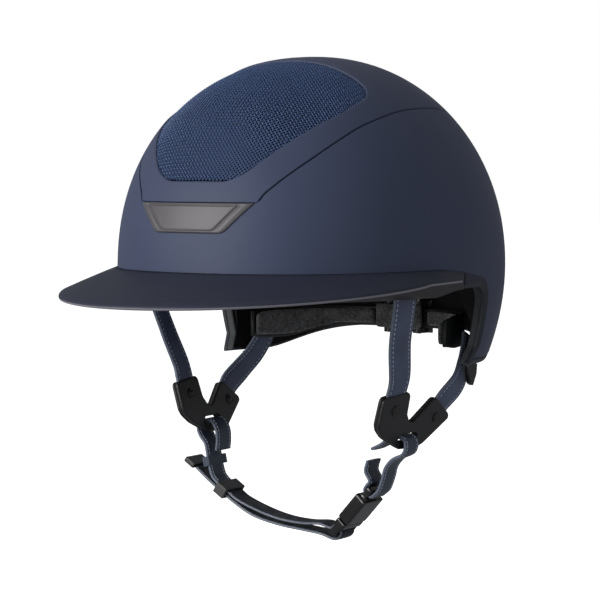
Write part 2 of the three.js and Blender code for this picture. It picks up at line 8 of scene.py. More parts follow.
import bmesh
import bpy
import numpy as np
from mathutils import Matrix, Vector


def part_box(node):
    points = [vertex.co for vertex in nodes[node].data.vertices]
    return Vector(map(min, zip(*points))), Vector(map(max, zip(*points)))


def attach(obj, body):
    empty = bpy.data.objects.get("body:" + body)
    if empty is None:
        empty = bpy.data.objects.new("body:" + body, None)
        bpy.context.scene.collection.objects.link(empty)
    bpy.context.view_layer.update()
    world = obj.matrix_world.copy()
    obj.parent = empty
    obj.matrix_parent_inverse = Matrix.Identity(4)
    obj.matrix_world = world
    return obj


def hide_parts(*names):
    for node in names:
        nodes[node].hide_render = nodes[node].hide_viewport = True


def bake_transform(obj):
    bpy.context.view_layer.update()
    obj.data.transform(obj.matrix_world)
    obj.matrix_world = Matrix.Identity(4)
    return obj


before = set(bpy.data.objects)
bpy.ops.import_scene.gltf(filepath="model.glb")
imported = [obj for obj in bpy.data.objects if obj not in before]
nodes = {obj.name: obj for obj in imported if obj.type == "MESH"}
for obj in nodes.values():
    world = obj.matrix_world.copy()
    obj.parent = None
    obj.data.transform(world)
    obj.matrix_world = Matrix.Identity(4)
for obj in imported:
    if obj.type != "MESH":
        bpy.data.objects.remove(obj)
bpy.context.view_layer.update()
MM = 0.001
SIDES = (("left", 1.0), ("right", -1.0))

# ---------------------------------------------------------------- driving dimensions
CENTRE = np.array((0.0, 0.0063, 0.0))
FRONT_REACH, REAR_REACH, HALF_WIDTH, HEIGHT = 0.1305, 0.131, 0.1028, 0.127
PLAN_POWER, FRONT_POWER, SIDE_POWER, REAR_POWER = 2.36, 2.12, 2.21, 1.9
TAPER_DEPTH, REAR_TAPER, SIDE_TAPER = 0.07, 0.145, 0.136
WALL = 0.0028
GAP = 0.0004
GROOVE = 0.0005
RIM_LEVEL, NAPE_LEVEL = -0.008, -0.056
NAPE_RISE, NAPE_RISE_START, NAPE_RISE_END = 0.014, 0.068, 0.124
PANEL_FRONT, PANEL_REAR = 0.0406, 0.036
VENT_BOTTOM, VENT_REAR, VENT_RECESS = 0.0525, -0.0255, 0.0011
EAR_CORNER_Y, EAR_ARC, EAR_FOOT, EAR_TOE_Y = 0.0435, 0.012, -0.047, 0.037
EAR_BAND_END, NAPE_BAND_START = 0.0515, 0.0519
BADGE_TOP, BADGE_BOTTOM, BADGE_TOP_HALF, BADGE_BOTTOM_HALF = 0.040, 0.0232, 0.0395, 0.0236
VENT_CORNER = 0.009

# ---------------------------------------------------------------- camera, light and floor
AZIMUTH, ELEVATION, DISTANCE = math.radians(34.4), math.radians(2.8), 1.3


def studio():
    scene = bpy.context.scene
    scene.view_settings.view_transform = "Standard"
    back = Vector((math.sin(AZIMUTH) * math.cos(ELEVATION),
                   -math.cos(AZIMUTH) * math.cos(ELEVATION), math.sin(ELEVATION)))
    data = bpy.data.cameras.new("camera")
    data.lens = 127.76
    data.sensor_width = 36.0
    data.shift_x = -0.0166
    data.shift_y = -0.0576
    camera = bpy.data.objects.new("camera", data)
    scene.collection.objects.link(camera)
    camera.location = back * DISTANCE
    camera.rotation_euler = back.to_track_quat("Z", "Y").to_euler()
    scene.camera = camera

    world = bpy.data.worlds.new("studio")
    world.use_nodes = True
    set_inputs(world.node_tree.nodes["Background"], Color=(0.95, 0.97, 1.0, 1.0), Strength=0.24)
    scene.world = world

    def softbox(name, place, size, power, colour=(1.0, 1.0, 1.0)):
        lamp = bpy.data.lights.new(name, "AREA")
        lamp.shape = "RECTANGLE"
        lamp.size, lamp.size_y = size
        lamp.energy = power
        lamp.color = colour
        holder = bpy.data.objects.new(name, lamp)
        scene.collection.objects.link(holder)
        holder.location = place
        holder.rotation_euler = (Vector(place) - Vector((0, 0, -0.02))).to_track_quat("Z", "Y").to_euler()

    softbox("key_softbox", (-0.7, -1.75, 0.62), (1.1, 1.3), 35.0, (1.0, 0.985, 0.97))
    softbox("top_softbox", (0.1, -0.1, 1.8), (1.2, 1.2), 1.2)
    softbox("right_strip", (2.0, -0.55, 0.35), (0.5, 1.6), 4.0, (0.95, 0.97, 1.0))
    softbox("low_fill", (0.2, -1.7, -0.2), (1.8, 0.3), 4.0)


def lathe_stage(name, rings, colour, emission):
    """A round floor or a backdrop dome, from (radius, height) rings."""
    count = 96
    points = [(r * math.cos(2 * math.pi * i / count), r * math.sin(2 * math.pi * i / count), z)
              for r, z in rings for i in range(count)]
    mesh = bpy.data.meshes.new(name)
    mesh.from_pydata(points, [], grid_faces(len(rings), count, True))
    made = bpy.data.objects.new(name, mesh)
    bpy.context.scene.collection.objects.link(made)
    paint, _, shader = graph(name)
    set_inputs(shader, Base_Color=(*colour, 1), Roughness=0.9, Specular_IOR_Level=0.1,
               Emission_Color=(1, 1, 1, 1), Emission_Strength=emission)
    mesh.materials.append(paint)
    return made


def floor_and_backdrop():
    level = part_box("chin_strap")[0].z - 0.075
    ground = lathe_stage("floor", [(0.001, level), (1, level), (9, level)], (0.93, 0.93, 0.93), 0.9)
    ground.visible_diffuse = False
    ground.visible_glossy = False
    dome = lathe_stage("backdrop", [(9, level - 0.5), (9, 3), (7, 7), (0.01, 9)], (0, 0, 0), 1.0)
    dome.visible_diffuse = False
    dome.visible_glossy = False
    dome.visible_transmission = False
    dome.visible_shadow = False


# ---------------------------------------------------------------- materials
def graph(name):
    made = bpy.data.materials.new(name)
    made.use_nodes = True
    tree = made.node_tree
    return made, tree, tree.nodes["Principled BSDF"]


def set_inputs(node, **values):
    """Sets a node's inputs by name, with an underscore for each space."""
    for key, value in values.items():
        node.inputs[key.replace("_", " ")].default_value = value


def texture(tree, kind, scale, source="Object", stretch=None, **values):
    """A texture node on object coordinates or on the UV map, both in metres."""
    coordinates = tree.nodes.new("ShaderNodeTexCoord").outputs[source]
    if stretch:
        mapping = tree.nodes.new("ShaderNodeMapping")
        mapping.inputs["Scale"].default_value = stretch
        tree.links.new(coordinates, mapping.inputs["Vector"])
        coordinates = mapping.outputs["Vector"]
    node = tree.nodes.new(kind)
    tree.links.new(coordinates, node.inputs["Vector"])
    node.inputs["Scale"].default_value = scale
    for key, value in values.items():
        if key in node.inputs:
            node.inputs[key].default_value = value
        else:
            setattr(node, key, value)
    return node


def span(tree, value, low, high, start=0.3, end=0.7):
    node = tree.nodes.new("ShaderNodeMapRange")
    tree.links.new(value, node.inputs["Value"])
    set_inputs(node, From_Min=start, From_Max=end, To_Min=low, To_Max=high)
    return node.outputs["Result"]


def blend_colours(tree, factor, first, second):
    node = tree.nodes.new("ShaderNodeMix")
    node.data_type = "RGBA"
    tree.links.new(factor, node.inputs["Factor"])
    pair = [s for s in node.inputs if s.type == "RGBA"]
    for socket, colour in zip(pair, (first, second)):
        if isinstance(colour, bpy.types.NodeSocket):
            tree.links.new(colour, socket)
        else:
            socket.default_value = (*colour, 1)
    return [s for s in node.outputs if s.type == "RGBA"][0]


def bump(tree, height, depth, before=None, strength=1.0):
    node = tree.nodes.new("ShaderNodeBump")
    set_inputs(node, Strength=strength, Distance=depth)
    tree.links.new(height, node.inputs["Height"])
    if before:
        tree.links.new(before, node.inputs["Normal"])
    return node.outputs["Normal"]


def tint(colour, factor):
    return tuple(min(1.0, c * factor) for c in colour)


def slow_tone(tree, shader, slow, colour, dark, light):
    """A base colour that drifts between a darker and a lighter tint of itself."""
    share = span(tree, slow.outputs["Fac"], 0, 1)
    colours = blend_colours(tree, share, tint(colour, dark), tint(colour, light))
    tree.links.new(colours, shader.inputs["Base Color"])


def moulded(name, colour, rough, grain, grain_scale, vary, specular, sheen=0.0):
    """Painted or moulded surface: a fine grain, a slow change of tone and worn-in gloss."""
    made, tree, shader = graph(name)
    fine = texture(tree, "ShaderNodeTexNoise", grain_scale, Detail=3.0, Roughness=0.6)
    slow = texture(tree, "ShaderNodeTexNoise", 22, Detail=4.0, Roughness=0.55)
    slow_tone(tree, shader, slow, colour, 1 - vary, 1 + vary)
    tree.links.new(span(tree, slow.outputs["Fac"], rough - 0.05, rough + 0.05), shader.inputs["Roughness"])
    tree.links.new(bump(tree, fine.outputs["Fac"], grain), shader.inputs["Normal"])
    set_inputs(shader, Specular_IOR_Level=specular)
    if sheen:
        set_inputs(shader, Sheen_Weight=sheen, Sheen_Roughness=0.5)
    return made


def leather(name, colour, rough=0.42):
    """Smooth coated leather: pebbled grain, pores and a little wear in its tone."""
    made, tree, shader = graph(name)
    pebbles = texture(tree, "ShaderNodeTexVoronoi", 1500, feature="DISTANCE_TO_EDGE")
    pores = texture(tree, "ShaderNodeTexNoise", 2600, Detail=3.0)
    slow = texture(tree, "ShaderNodeTexNoise", 60, Detail=5.0, Roughness=0.6)
    slow_tone(tree, shader, slow, colour, 0.8, 1.22)
    tree.links.new(span(tree, slow.outputs["Fac"], rough - 0.08, rough + 0.1), shader.inputs["Roughness"])
    first = bump(tree, pebbles.outputs["Distance"], 0.00012, strength=0.6)
    tree.links.new(bump(tree, pores.outputs["Fac"], 0.00005, first), shader.inputs["Normal"])
    set_inputs(shader, Specular_IOR_Level=0.5)
    return made


def knitted(name, dark, light):
    """Spacer textile: small open cells, a fuzzy pile and mottled yarn, with painted shade darkening the
    cells towards their edges.
    """
    made, tree, shader = graph(name)
    cells = texture(tree, "ShaderNodeTexVoronoi", 520, feature="SMOOTH_F1", Smoothness=0.3)
    fuzz = texture(tree, "ShaderNodeTexNoise", 1900, Detail=6.0, Roughness=0.75)
    slow = texture(tree, "ShaderNodeTexNoise", 90, Detail=4.0, Roughness=0.7)
    yarn = blend_colours(tree, span(tree, fuzz.outputs["Fac"], 0, 1, 0.35, 0.68), dark, light)
    # Painted shade: towards the cells' edges the colour darkens below the dark yarn's own.
    holes = span(tree, cells.outputs["Distance"], 1.0, 0.35, 0.25, 0.75)
    shade = blend_colours(tree, holes, tint(dark, 0.45), yarn)
    fluff = span(tree, slow.outputs["Fac"], 0.0, 0.55, 0.45, 0.65)
    worn = blend_colours(tree, fluff, shade, tint(light, 0.8))
    tree.links.new(worn, shader.inputs["Base Color"])
    first = bump(tree, cells.outputs["Distance"], -0.0005)
    tree.links.new(bump(tree, fuzz.outputs["Fac"], 0.0003, first), shader.inputs["Normal"])
    set_inputs(shader, Roughness=0.95, Sheen_Weight=0.45, Sheen_Roughness=0.5)
    return made


def webbing(name, colour):
    """Tightly woven tape with a rubbery coat: ribs along it and picks across it, on its UV map."""
    made, tree, shader = graph(name)
    ribs = texture(tree, "ShaderNodeTexWave", 1.0, "UV", (90, 0, 0), bands_direction="X")
    picks = texture(tree, "ShaderNodeTexWave", 1.0, "UV", (0, 160, 0), bands_direction="Y")
    slow = texture(tree, "ShaderNodeTexNoise", 70, Detail=4.0)
    slow_tone(tree, shader, slow, colour, 0.8, 1.25)
    tree.links.new(span(tree, slow.outputs["Fac"], 0.42, 0.56), shader.inputs["Roughness"])
    first = bump(tree, ribs.outputs["Fac"], 0.00012)
    tree.links.new(bump(tree, picks.outputs["Fac"], 0.0001, first), shader.inputs["Normal"])
    return made


shell_paint = moulded("soft_touch_blue", (0.052, 0.065, 0.118), 0.52, 0.00004, 1500, 0.03, 0.22, 0.02)
peak_paint = moulded("peak_black_blue", (0.023, 0.027, 0.047), 0.55, 0.00004, 1500, 0.05, 0.35)
# Lighter grey on the peak's rounded edge: a painted highlight.
peak_rim_highlight = moulded("painted_highlight_on_peak_rim", (0.2, 0.195, 0.23), 0.42, 0.00004, 1200, 0.05, 0.5)
peak_under = moulded("peak_underside_brown", (0.044, 0.038, 0.043), 0.6, 0.00006, 1400, 0.06, 0.3)
mesh_blue = moulded("vent_wire_blue", (0.05, 0.088, 0.2), 0.34, 0.00002, 2600, 0.1, 0.4)
# Near black: a sheet under the weave that stands for the shade seen through its holes.
vent_shade_paint = moulded("painted_shade_under_vent", (0.002, 0.004, 0.013), 0.8, 0.0001, 900, 0.1, 0.2)
badge_paint = moulded("badge_satin", (0.088, 0.084, 0.092), 0.42, 0.00003, 1800, 0.05, 0.45)
foam_black = moulded("moulded_foam", (0.009, 0.009, 0.01), 0.78, 0.00035, 420, 0.2, 0.25)
trim_black = moulded("trim_rubber", (0.022, 0.026, 0.036), 0.5, 0.00005, 1300, 0.08, 0.4)
# Lighter grey on the inner part of the band's lower face: a painted highlight along the band's inner edge.
trim_highlight = moulded("painted_highlight_on_trim", (0.05, 0.056, 0.06), 0.6, 0.00008, 900, 0.1, 0.3)
black_plastic = moulded("grained_plastic", (0.016, 0.0155, 0.0175), 0.4, 0.00009, 1100, 0.12, 0.5)
gloss_plastic = moulded("gloss_plastic", (0.012, 0.012, 0.013), 0.17, 0.00002, 700, 0.15, 0.55)
grey_plastic = moulded("grey_plastic", (0.05, 0.051, 0.053), 0.45, 0.00007, 1000, 0.1, 0.45)
textile = knitted("spacer_textile", (0.01, 0.0105, 0.0115), (0.2, 0.2, 0.205))
strap_leather = leather("navy_leather", (0.08, 0.1, 0.175))
lead_leather = leather("dark_navy_leather", (0.042, 0.058, 0.09))
# Lighter than the leather: a painted highlight on the straps' rounded edges and end faces.
strap_rim_highlight = moulded("painted_highlight_on_strap_rims", (0.13, 0.155, 0.21), 0.4, 0.00003, 1200, 0.12, 0.5)
chin_tape = webbing("chin_webbing", (0.016, 0.025, 0.042))
# Far lighter than the tape: a painted highlight on the webbing's rounded edges and end faces.
tape_rim_highlight = moulded("painted_highlight_on_webbing_rims", (0.11, 0.13, 0.17), 0.3, 0.00003, 900, 0.15, 0.6)
thread = moulded("stitch_thread", (0.5, 0.55, 0.66), 0.7, 0.00008, 4200, 0.2, 0.3)
ear_leather = leather("black_ear_leather", (0.009, 0.01, 0.0105), 0.5)
pin_steel = moulded("pin_steel", (0.42, 0.42, 0.44), 0.3, 0.00002, 1500, 0.1, 0.5)
set_inputs(pin_steel.node_tree.nodes["Principled BSDF"], Metallic=1.0)


# ---------------------------------------------------------------- mesh helpers
def piece(name, points, faces, materials, body, stands_for=(), indices=None, uvs=None):
    """A mesh object in a material slot, riding its body and standing for frame nodes."""
    mesh = bpy.data.meshes.new(name)
    mesh.from_pydata([tuple(p) for p in points], [], [tuple(int(i) for i in f) for f in faces])
    for paint in materials:
        mesh.materials.append(paint)
    if indices is not None:
        mesh.polygons.foreach_set("material_index", np.asarray(indices, dtype=np.int32))
    if uvs is not None:
        layer = mesh.uv_layers.new(name="UVMap")
        loops = np.empty(len(mesh.loops), dtype=np.int32)
        mesh.loops.foreach_get("vertex_index", loops)
        layer.data.foreach_set("uv", np.asarray(uvs, dtype=np.float32)[loops].ravel())
    edit = bmesh.new()
    edit.from_mesh(mesh)
    bmesh.ops.recalc_face_normals(edit, faces=edit.faces)
    edit.to_mesh(mesh)
    edit.free()
    smooth_faces(mesh)
    made = bpy.data.objects.new(name, mesh)
    bpy.context.scene.collection.objects.link(made)
    if stands_for:
        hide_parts(*stands_for)
    if body:
        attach(made, body)
    return made


def smooth_faces(mesh):
    mesh.polygons.foreach_set("use_smooth", [True] * len(mesh.polygons))


def bevelled(thing, width, segments, angle):
    cut = thing.modifiers.new("edges", "BEVEL")
    cut.width = width
    cut.segments = segments
    cut.limit_method = "ANGLE"
    cut.angle_limit = math.radians(angle)
    cut.use_clamp_overlap = True
    even = thing.modifiers.new("normals", "WEIGHTED_NORMAL")
    even.keep_sharp = True


def grid_faces(rows, columns, wrap, start=0):
    """Quads of a rows x columns grid of points, closed round its columns if wrap."""
    across = columns if wrap else columns - 1
    return [(start + r * columns + c, start + r * columns + (c + 1) % columns,
             start + (r + 1) * columns + (c + 1) % columns, start + (r + 1) * columns + c)
            for r in range(rows - 1) for c in range(across)]


def tube_faces(rows, columns, start=0):
    """Quads round a tube of rings, and a face over each of its ends."""
    last = start + (rows - 1) * columns
    ends = [tuple(first + i for i in range(columns)) for first in (start, last)]
    return grid_faces(rows, columns, True, start) + ends


def unit(vectors):
    vectors = np.asarray(vectors, float)
    return vectors / np.linalg.norm(vectors, axis=-1, keepdims=True)


def ease(value, low, high):
    t = min(max((value - low) / (high - low), 0.0), 1.0)
    return t * t * (3 - 2 * t)


def spline(points, steps):
    """Centripetal Catmull-Rom points through the given ones, the same number between each two."""
    points = np.asarray(points, float)
    points = np.vstack([2 * points[0] - points[1], points, 2 * points[-1] - points[-2]])
    last = len(points) - 3
    made = []
    for i in range(steps + 1):
        place = last * i / steps
        k = min(int(place), last - 1)
        w = place - k
        a, b, c, d = points[k:k + 4]
        t0, t1, t2 = (max(np.linalg.norm(q - p), 1e-9) ** 0.5 for p, q in ((a, b), (b, c), (c, d)))
        m1 = ((b - a) / t0 - (c - a) / (t0 + t1) + (c - b) / t1) * t1
        m2 = ((c - b) / t1 - (d - b) / (t1 + t2) + (d - c) / t2) * t1
        made.append(b + m1 * w + (3 * (c - b) - 2 * m1 - m2) * w ** 2 + (2 * (b - c) + m1 + m2) * w ** 3)
    return np.array(made)


# ---------------------------------------------------------------- the shell's surface
def on_shell(directions, inset=0.0):
    """Where rays from the shell's centre meet its surface, moved inwards by inset."""
    d = np.asarray(directions, float)
    x, y, z = d[..., 0], d[..., 1], d[..., 2]
    flat = np.maximum(x ** 2 + y ** 2, 1e-18)
    side, front, rear = x ** 2 / flat, np.minimum(y, 0) ** 2 / flat, np.maximum(y, 0) ** 2 / flat
    reach = np.where(y < 0, FRONT_REACH, REAR_REACH) - inset
    gauge = (np.abs(x) / (HALF_WIDTH - inset)) ** PLAN_POWER + (np.abs(y) / reach) ** PLAN_POWER
    gauge = gauge ** (1 / PLAN_POWER)
    power = np.maximum(FRONT_POWER * front + REAR_POWER * rear + SIDE_POWER * side, 1.0)
    lifted = gauge ** power + (np.maximum(z, 0) / (HEIGHT - inset)) ** power
    high = np.maximum(lifted, 1e-12) ** (-1 / power)
    taper = (REAR_TAPER * rear + SIDE_TAPER * side) * (np.minimum(z, 0) / TAPER_DEPTH) ** 2
    low = 2 / np.maximum(gauge + np.sqrt(gauge ** 2 + 4 * taper), 1e-12)
    return CENTRE + np.where(z >= 0, high, low)[..., None] * d


def reach_share(points, inset=0.0):
    """Below 1 inside the shell's surface and above 1 outside it."""
    d = points - CENTRE
    return np.linalg.norm(d, axis=-1) / np.linalg.norm(on_shell(d, inset) - CENTRE, axis=-1)


def shell_normal(points):
    step = 1e-5
    slope = np.stack([reach_share(points + step * axis) - reach_share(points - step * axis)
                      for axis in np.eye(3)], axis=-1)
    return unit(slope)


def wall_point(turn, level, inset=0.0):
    """The wall at a turn from the front and a level at or below the rim."""
    turn, level = np.broadcast_arrays(np.asarray(turn, float), np.asarray(level, float))
    d = np.stack([np.sin(turn), -np.cos(turn), np.zeros_like(turn)], axis=-1)
    radius = np.linalg.norm(on_shell(d, inset) - CENTRE, axis=-1)
    rear, side = np.maximum(d[..., 1], 0) ** 2, d[..., 0] ** 2
    scale = 1 - (REAR_TAPER * rear + SIDE_TAPER * side) * (np.minimum(level, 0) / TAPER_DEPTH) ** 2
    found = CENTRE + (radius * scale)[..., None] * d
    found[..., 2] = level
    return found


def bisect(test, inside, outside):
    """The edge between a value where test holds and one where it doesn't, for whole arrays."""
    inside, outside = np.asarray(inside, float).copy(), np.asarray(outside, float).copy()
    for _ in range(44):
        middle = (inside + outside) / 2
        holds = test(middle)
        inside = np.where(holds, middle, inside)
        outside = np.where(holds, outside, middle)
    return (inside + outside) / 2


def solve_axis(points, axis, sign, inset=0.0):
    """Moves points along one axis, to the given side, until they lie on the surface."""
    points = np.asarray(points, float).copy()

    def test(value):
        points[..., axis] = value
        return reach_share(points, inset) < 1

    start = np.full(points.shape[:-1], CENTRE[axis])
    points[..., axis] = bisect(test, start, start + sign * 0.15)
    return points


def outline(half, count=160):
    smooth = spline(np.array(half) * MM, count)
    order = np.argsort(smooth[:, 1])
    return smooth[order, 1], smooth[order, 0]


PANEL_Y, PANEL_X = outline([(39.3, -140), (39.3, -122), (39.5, -114.6), (42, -110.5), (48, -104.5),
                            (55, -96), (61.6, -85), (67, -71), (70.8, -54), (73.3, -35), (73.8, -12),
                            (73.2, 8), (71.5, 27), (68, 46), (63, 64), (57, 82), (50, 102), (45, 140)])
VENT_Y, VENT_X = outline([(20, -130), (24.5, -116), (32.5, -107.5), (41.5, -98.4), (52.4, -82),
                          (60.4, -61), (62.8, -42), (61.8, -33), (58, -27.5), (52, -25.5)])


def in_panel(points, grow=0.0):
    share = np.clip((points[..., 1] + 0.04) / 0.1, 0, 1)
    bottom = PANEL_FRONT + (PANEL_REAR - PANEL_FRONT) * share - grow
    narrow_enough = np.abs(points[..., 0]) < np.interp(points[..., 1], PANEL_Y, PANEL_X) + grow
    return narrow_enough & (points[..., 2] > bottom)


def in_vent(points, grow=0.0):
    wide = np.interp(points[..., 1], VENT_Y, VENT_X) + grow - np.abs(points[..., 0])
    high = points[..., 2] - VENT_BOTTOM + grow
    corner = np.maximum(VENT_CORNER - wide, 0) ** 2 + np.maximum(VENT_CORNER - high, 0) ** 2
    return (wide > 0) & (high > 0) & (corner < VENT_CORNER ** 2) & (points[..., 1] < VENT_REAR + grow)


def between(first, last, shares):
    """Directions that turn from one row of points to another, as seen from the shell's centre."""
    a, b = unit(first - CENTRE), unit(last - CENTRE)
    angle = np.arccos(np.clip((a * b).sum(-1), -1, 1))[None, :, None]
    s = shares[..., None] if shares.ndim == 2 else shares[:, None, None]
    return (np.sin((1 - s) * angle) * a + np.sin(s * angle) * b) / np.maximum(np.sin(angle), 1e-12)


def thick_sheet(name, grids, node):
    """A closed wall: (directions, closed round, depth) grids outside, the same directions inside."""
    outer, faces, inner, start = [], [], [], 0
    for directions, wrap, depth in grids:
        rows, columns = directions.shape[:2]
        outer.append(on_shell(directions, depth).reshape(-1, 3))
        inner.append(on_shell(directions, WALL).reshape(-1, 3))
        faces += grid_faces(rows, columns, wrap, start)
        start += rows * columns
    outer, inner = np.vstack(outer), np.vstack(inner)
    keys, first, same = np.unique(np.round(outer / 2e-7).astype(np.int64), axis=0,
                                  return_index=True, return_inverse=True)
    same = same.ravel()
    outer, inner, count = outer[first], inner[first], len(keys)
    quads = []
    for face in faces:
        ring = list(dict.fromkeys(int(same[i]) for i in face))
        if len(ring) > 2:
            quads.append(ring)
    used = {}
    for ring in quads:
        for a, b in zip(ring, ring[1:] + ring[:1]):
            used[(a, b)] = used.get((a, b), 0) + 1
    rim = [(a, b) for a, b in used if (b, a) not in used]
    walls = [(b, a, a + count, b + count) for a, b in rim]
    inside = [tuple(i + count for i in reversed(ring)) for ring in quads]
    return piece(name, np.vstack([outer, inner]), quads + inside + walls, [shell_paint], "helmet",
                 [node])


# ---------------------------------------------------------------- shell, crown panel and vent
def ear_edge(level):
    """How far back the shell's edge lies at a level below the rim."""
    drop = np.clip(level - RIM_LEVEL, -EAR_ARC, 0)
    arc = EAR_CORNER_Y - EAR_ARC + np.sqrt(np.maximum(EAR_ARC ** 2 - (drop + EAR_ARC) ** 2, 0))
    toe = np.clip((EAR_FOOT - level) / (EAR_FOOT - NAPE_LEVEL), 0, 1)
    return arc + (EAR_TOE_Y - EAR_CORNER_Y) * toe


def nape_edge(turn):
    """The level of the shell's lower edge behind the ears, which climbs towards the back."""
    back = wall_point(turn, NAPE_LEVEL)[..., 1]
    share = np.clip((back - NAPE_RISE_START) / (NAPE_RISE_END - NAPE_RISE_START), 0, 1)
    return NAPE_LEVEL + NAPE_RISE * share ** 2 * (3 - 2 * share)


def edge_turn(level):
    level = np.asarray(level, float)
    return bisect(lambda turn: wall_point(turn, level)[..., 1] < ear_edge(level),
                  np.full(level.shape, 1.2), np.full(level.shape, math.pi))


def make_outer_shell():
    drop = EAR_ARC * (1 - np.cos(np.linspace(0, math.pi / 2, 14)))
    levels = np.concatenate([RIM_LEVEL - drop, np.linspace(RIM_LEVEL - EAR_ARC, NAPE_LEVEL, 19)[1:]])
    turns = edge_turn(levels)
    shares = np.linspace(0, 1, 181)
    skirt_turns = turns[:, None] + (2 * math.pi - 2 * turns[:, None]) * shares[None, :]
    depth = (levels[:, None] - RIM_LEVEL) / (NAPE_LEVEL - RIM_LEVEL)
    skirt = wall_point(skirt_turns, RIM_LEVEL + (nape_edge(skirt_turns) - RIM_LEVEL) * depth) - CENTRE
    front = np.linspace(-turns[0], turns[0], 201)[1:-1]
    ring_turns = np.concatenate([skirt_turns[0], front + 2 * math.pi])

    def rising(lift):
        flat = np.cos(lift)
        return on_shell(np.stack([np.sin(ring_turns) * flat, -np.cos(ring_turns) * flat, np.sin(lift)], -1))

    seam = rising(bisect(lambda lift: in_panel(rising(lift), GROOVE),
                         np.full(ring_turns.shape, math.pi / 2), np.zeros(ring_turns.shape)))
    rim = wall_point(ring_turns, RIM_LEVEL)
    ring = between(rim, seam, np.linspace(0, 1, 34))
    ring[0] = rim - CENTRE
    made = thick_sheet("outer_shell_skin", [(ring, True, 0.0), (skirt[::-1], False, 0.0)], "outer_shell")
    bevelled(made, 0.00042, 3, 50)


VENT_AXIS = unit(np.array((0.0, -0.069, 0.088)))
VENT_SIDE = np.array((1.0, 0.0, 0.0))
VENT_BACK = np.cross(VENT_SIDE, VENT_AXIS)


def around_vent(away, azimuth):
    """Directions at an angle away from the vent's middle."""
    away, azimuth = np.broadcast_arrays(away, azimuth)
    ring = np.cos(azimuth)[..., None] * VENT_SIDE + np.sin(azimuth)[..., None] * VENT_BACK
    return np.cos(away)[..., None] * VENT_AXIS + np.sin(away)[..., None] * ring


def vent_loop(test, azimuths, widest):
    return bisect(lambda away: test(on_shell(around_vent(away, azimuths))),
                  np.zeros(azimuths.shape), np.full(azimuths.shape, widest))


def make_crown_panel():
    azimuths = np.linspace(0, 2 * math.pi, 560, endpoint=False)
    outer = on_shell(around_vent(vent_loop(in_panel, azimuths, 2.4), azimuths))
    inner = on_shell(around_vent(vent_loop(in_vent, azimuths, 1.4), azimuths))
    length = np.linalg.norm(outer - inner, axis=-1)
    roll, lip = 0.0005, 0.0009
    near = np.array((0.0, 0.13, 0.5, 1.0))
    low = np.array((1.0, 0.5, 0.134, 0.0))
    start = near[:, None] * roll / length[None, :]
    end = 1 - near[::-1, None] * lip / length[None, :]
    middle = start[-1] + (end[0] - start[-1]) * np.linspace(0, 1, 38)[1:-1, None]
    shares = np.vstack([start, middle, end])
    depth = np.concatenate([low * roll, np.zeros(len(middle)), low[::-1] * lip])
    grid = between(outer, inner, shares)
    thick_sheet("crown_panel_skin", [(grid, True, depth[:, None])], "crown_panel")


def make_vent():
    """Woven wires over a near-black sheet, painted shade seen through the weave, in the crown panel's front
    opening.
    """
    pitch, rise, wide, high = 0.0017, 0.00036, 0.00034, 0.0003
    middle_tilt, middle_reach = 0.9, 0.1235
    steps = np.arange(-112, 113) * pitch / 2
    first, second = np.meshgrid(steps, steps, indexing="ij")
    x = (first + second) * math.sqrt(0.5)
    tilt = middle_tilt + (first - second) * math.sqrt(0.5) / middle_reach
    ray = np.stack([np.zeros_like(tilt), -np.cos(tilt), np.sin(tilt)], axis=-1)

    def along(reach):
        found = CENTRE + ray * reach[..., None]
        found[..., 0] = x
        return found

    place = along(bisect(lambda reach: reach_share(along(reach), VENT_RECESS + 0.0003) < 1,
                         np.zeros_like(x), np.full_like(x, 0.16)))
    normal = shell_normal(place)
    kept = in_vent(place, -0.0001) & (np.abs(x) < 0.07) & (tilt > 0.3) & (tilt < 1.5)
    rows, columns = np.indices(x.shape)
    sign = np.where(((rows // 2) + (columns // 2)) % 2 == 0, 1.0, -1.0)
    points, faces, start = [], [], 0
    for turned in (False, True):
        crossing = sign * ((columns if turned else rows) % 2 == 0) * (-1 if turned else 1)
        path, up, keep = place + normal * (crossing * rise)[..., None], normal, kept
        if turned:
            path, up, keep = (np.swapaxes(a, 0, 1) for a in (path, up, keep))
        for k in range(0, path.shape[1], 2):
            run = np.flatnonzero(keep[:, k])
            if len(run) < 4:
                continue
            run = np.arange(run[0], run[-1] + 1)
            centre, lift = path[run, k], up[run, k]
            side = unit(np.cross(unit(np.gradient(centre, axis=0)), lift))
            ring = [centre + side * (w * wide) + lift * (h * high)
                    for w, h in ((-1, 0), (-0.6, -0.8), (0.6, -0.8), (1, 0), (0.6, 0.8), (-0.6, 0.8))]
            points.append(np.stack(ring, axis=1).reshape(-1, 3))
            faces += tube_faces(len(run), 6, start)
            start += 6 * len(run)
    piece("vent_weave", np.vstack(points), faces, [mesh_blue], "helmet", ["vent_mesh"])
    make_vent_shade_sheet()


def make_vent_shade_sheet():
    # A near-black sheet just under the weave: painted shade behind the wires.
    around, rows = 200, 14
    azimuths = np.linspace(0, 2 * math.pi, around, endpoint=False)
    edge = vent_loop(in_vent, azimuths, 1.4)
    directions = around_vent(np.linspace(0.02, 1, rows)[:, None] * edge[None, :], azimuths[None, :])
    top = on_shell(directions, 0.0025).reshape(-1, 3)
    bottom = on_shell(directions, 0.003)[::-1].reshape(-1, 3)
    piece("painted_shade_under_vent", np.vstack([top, bottom]), tube_faces(2 * rows, around), [vent_shade_paint], "helmet")


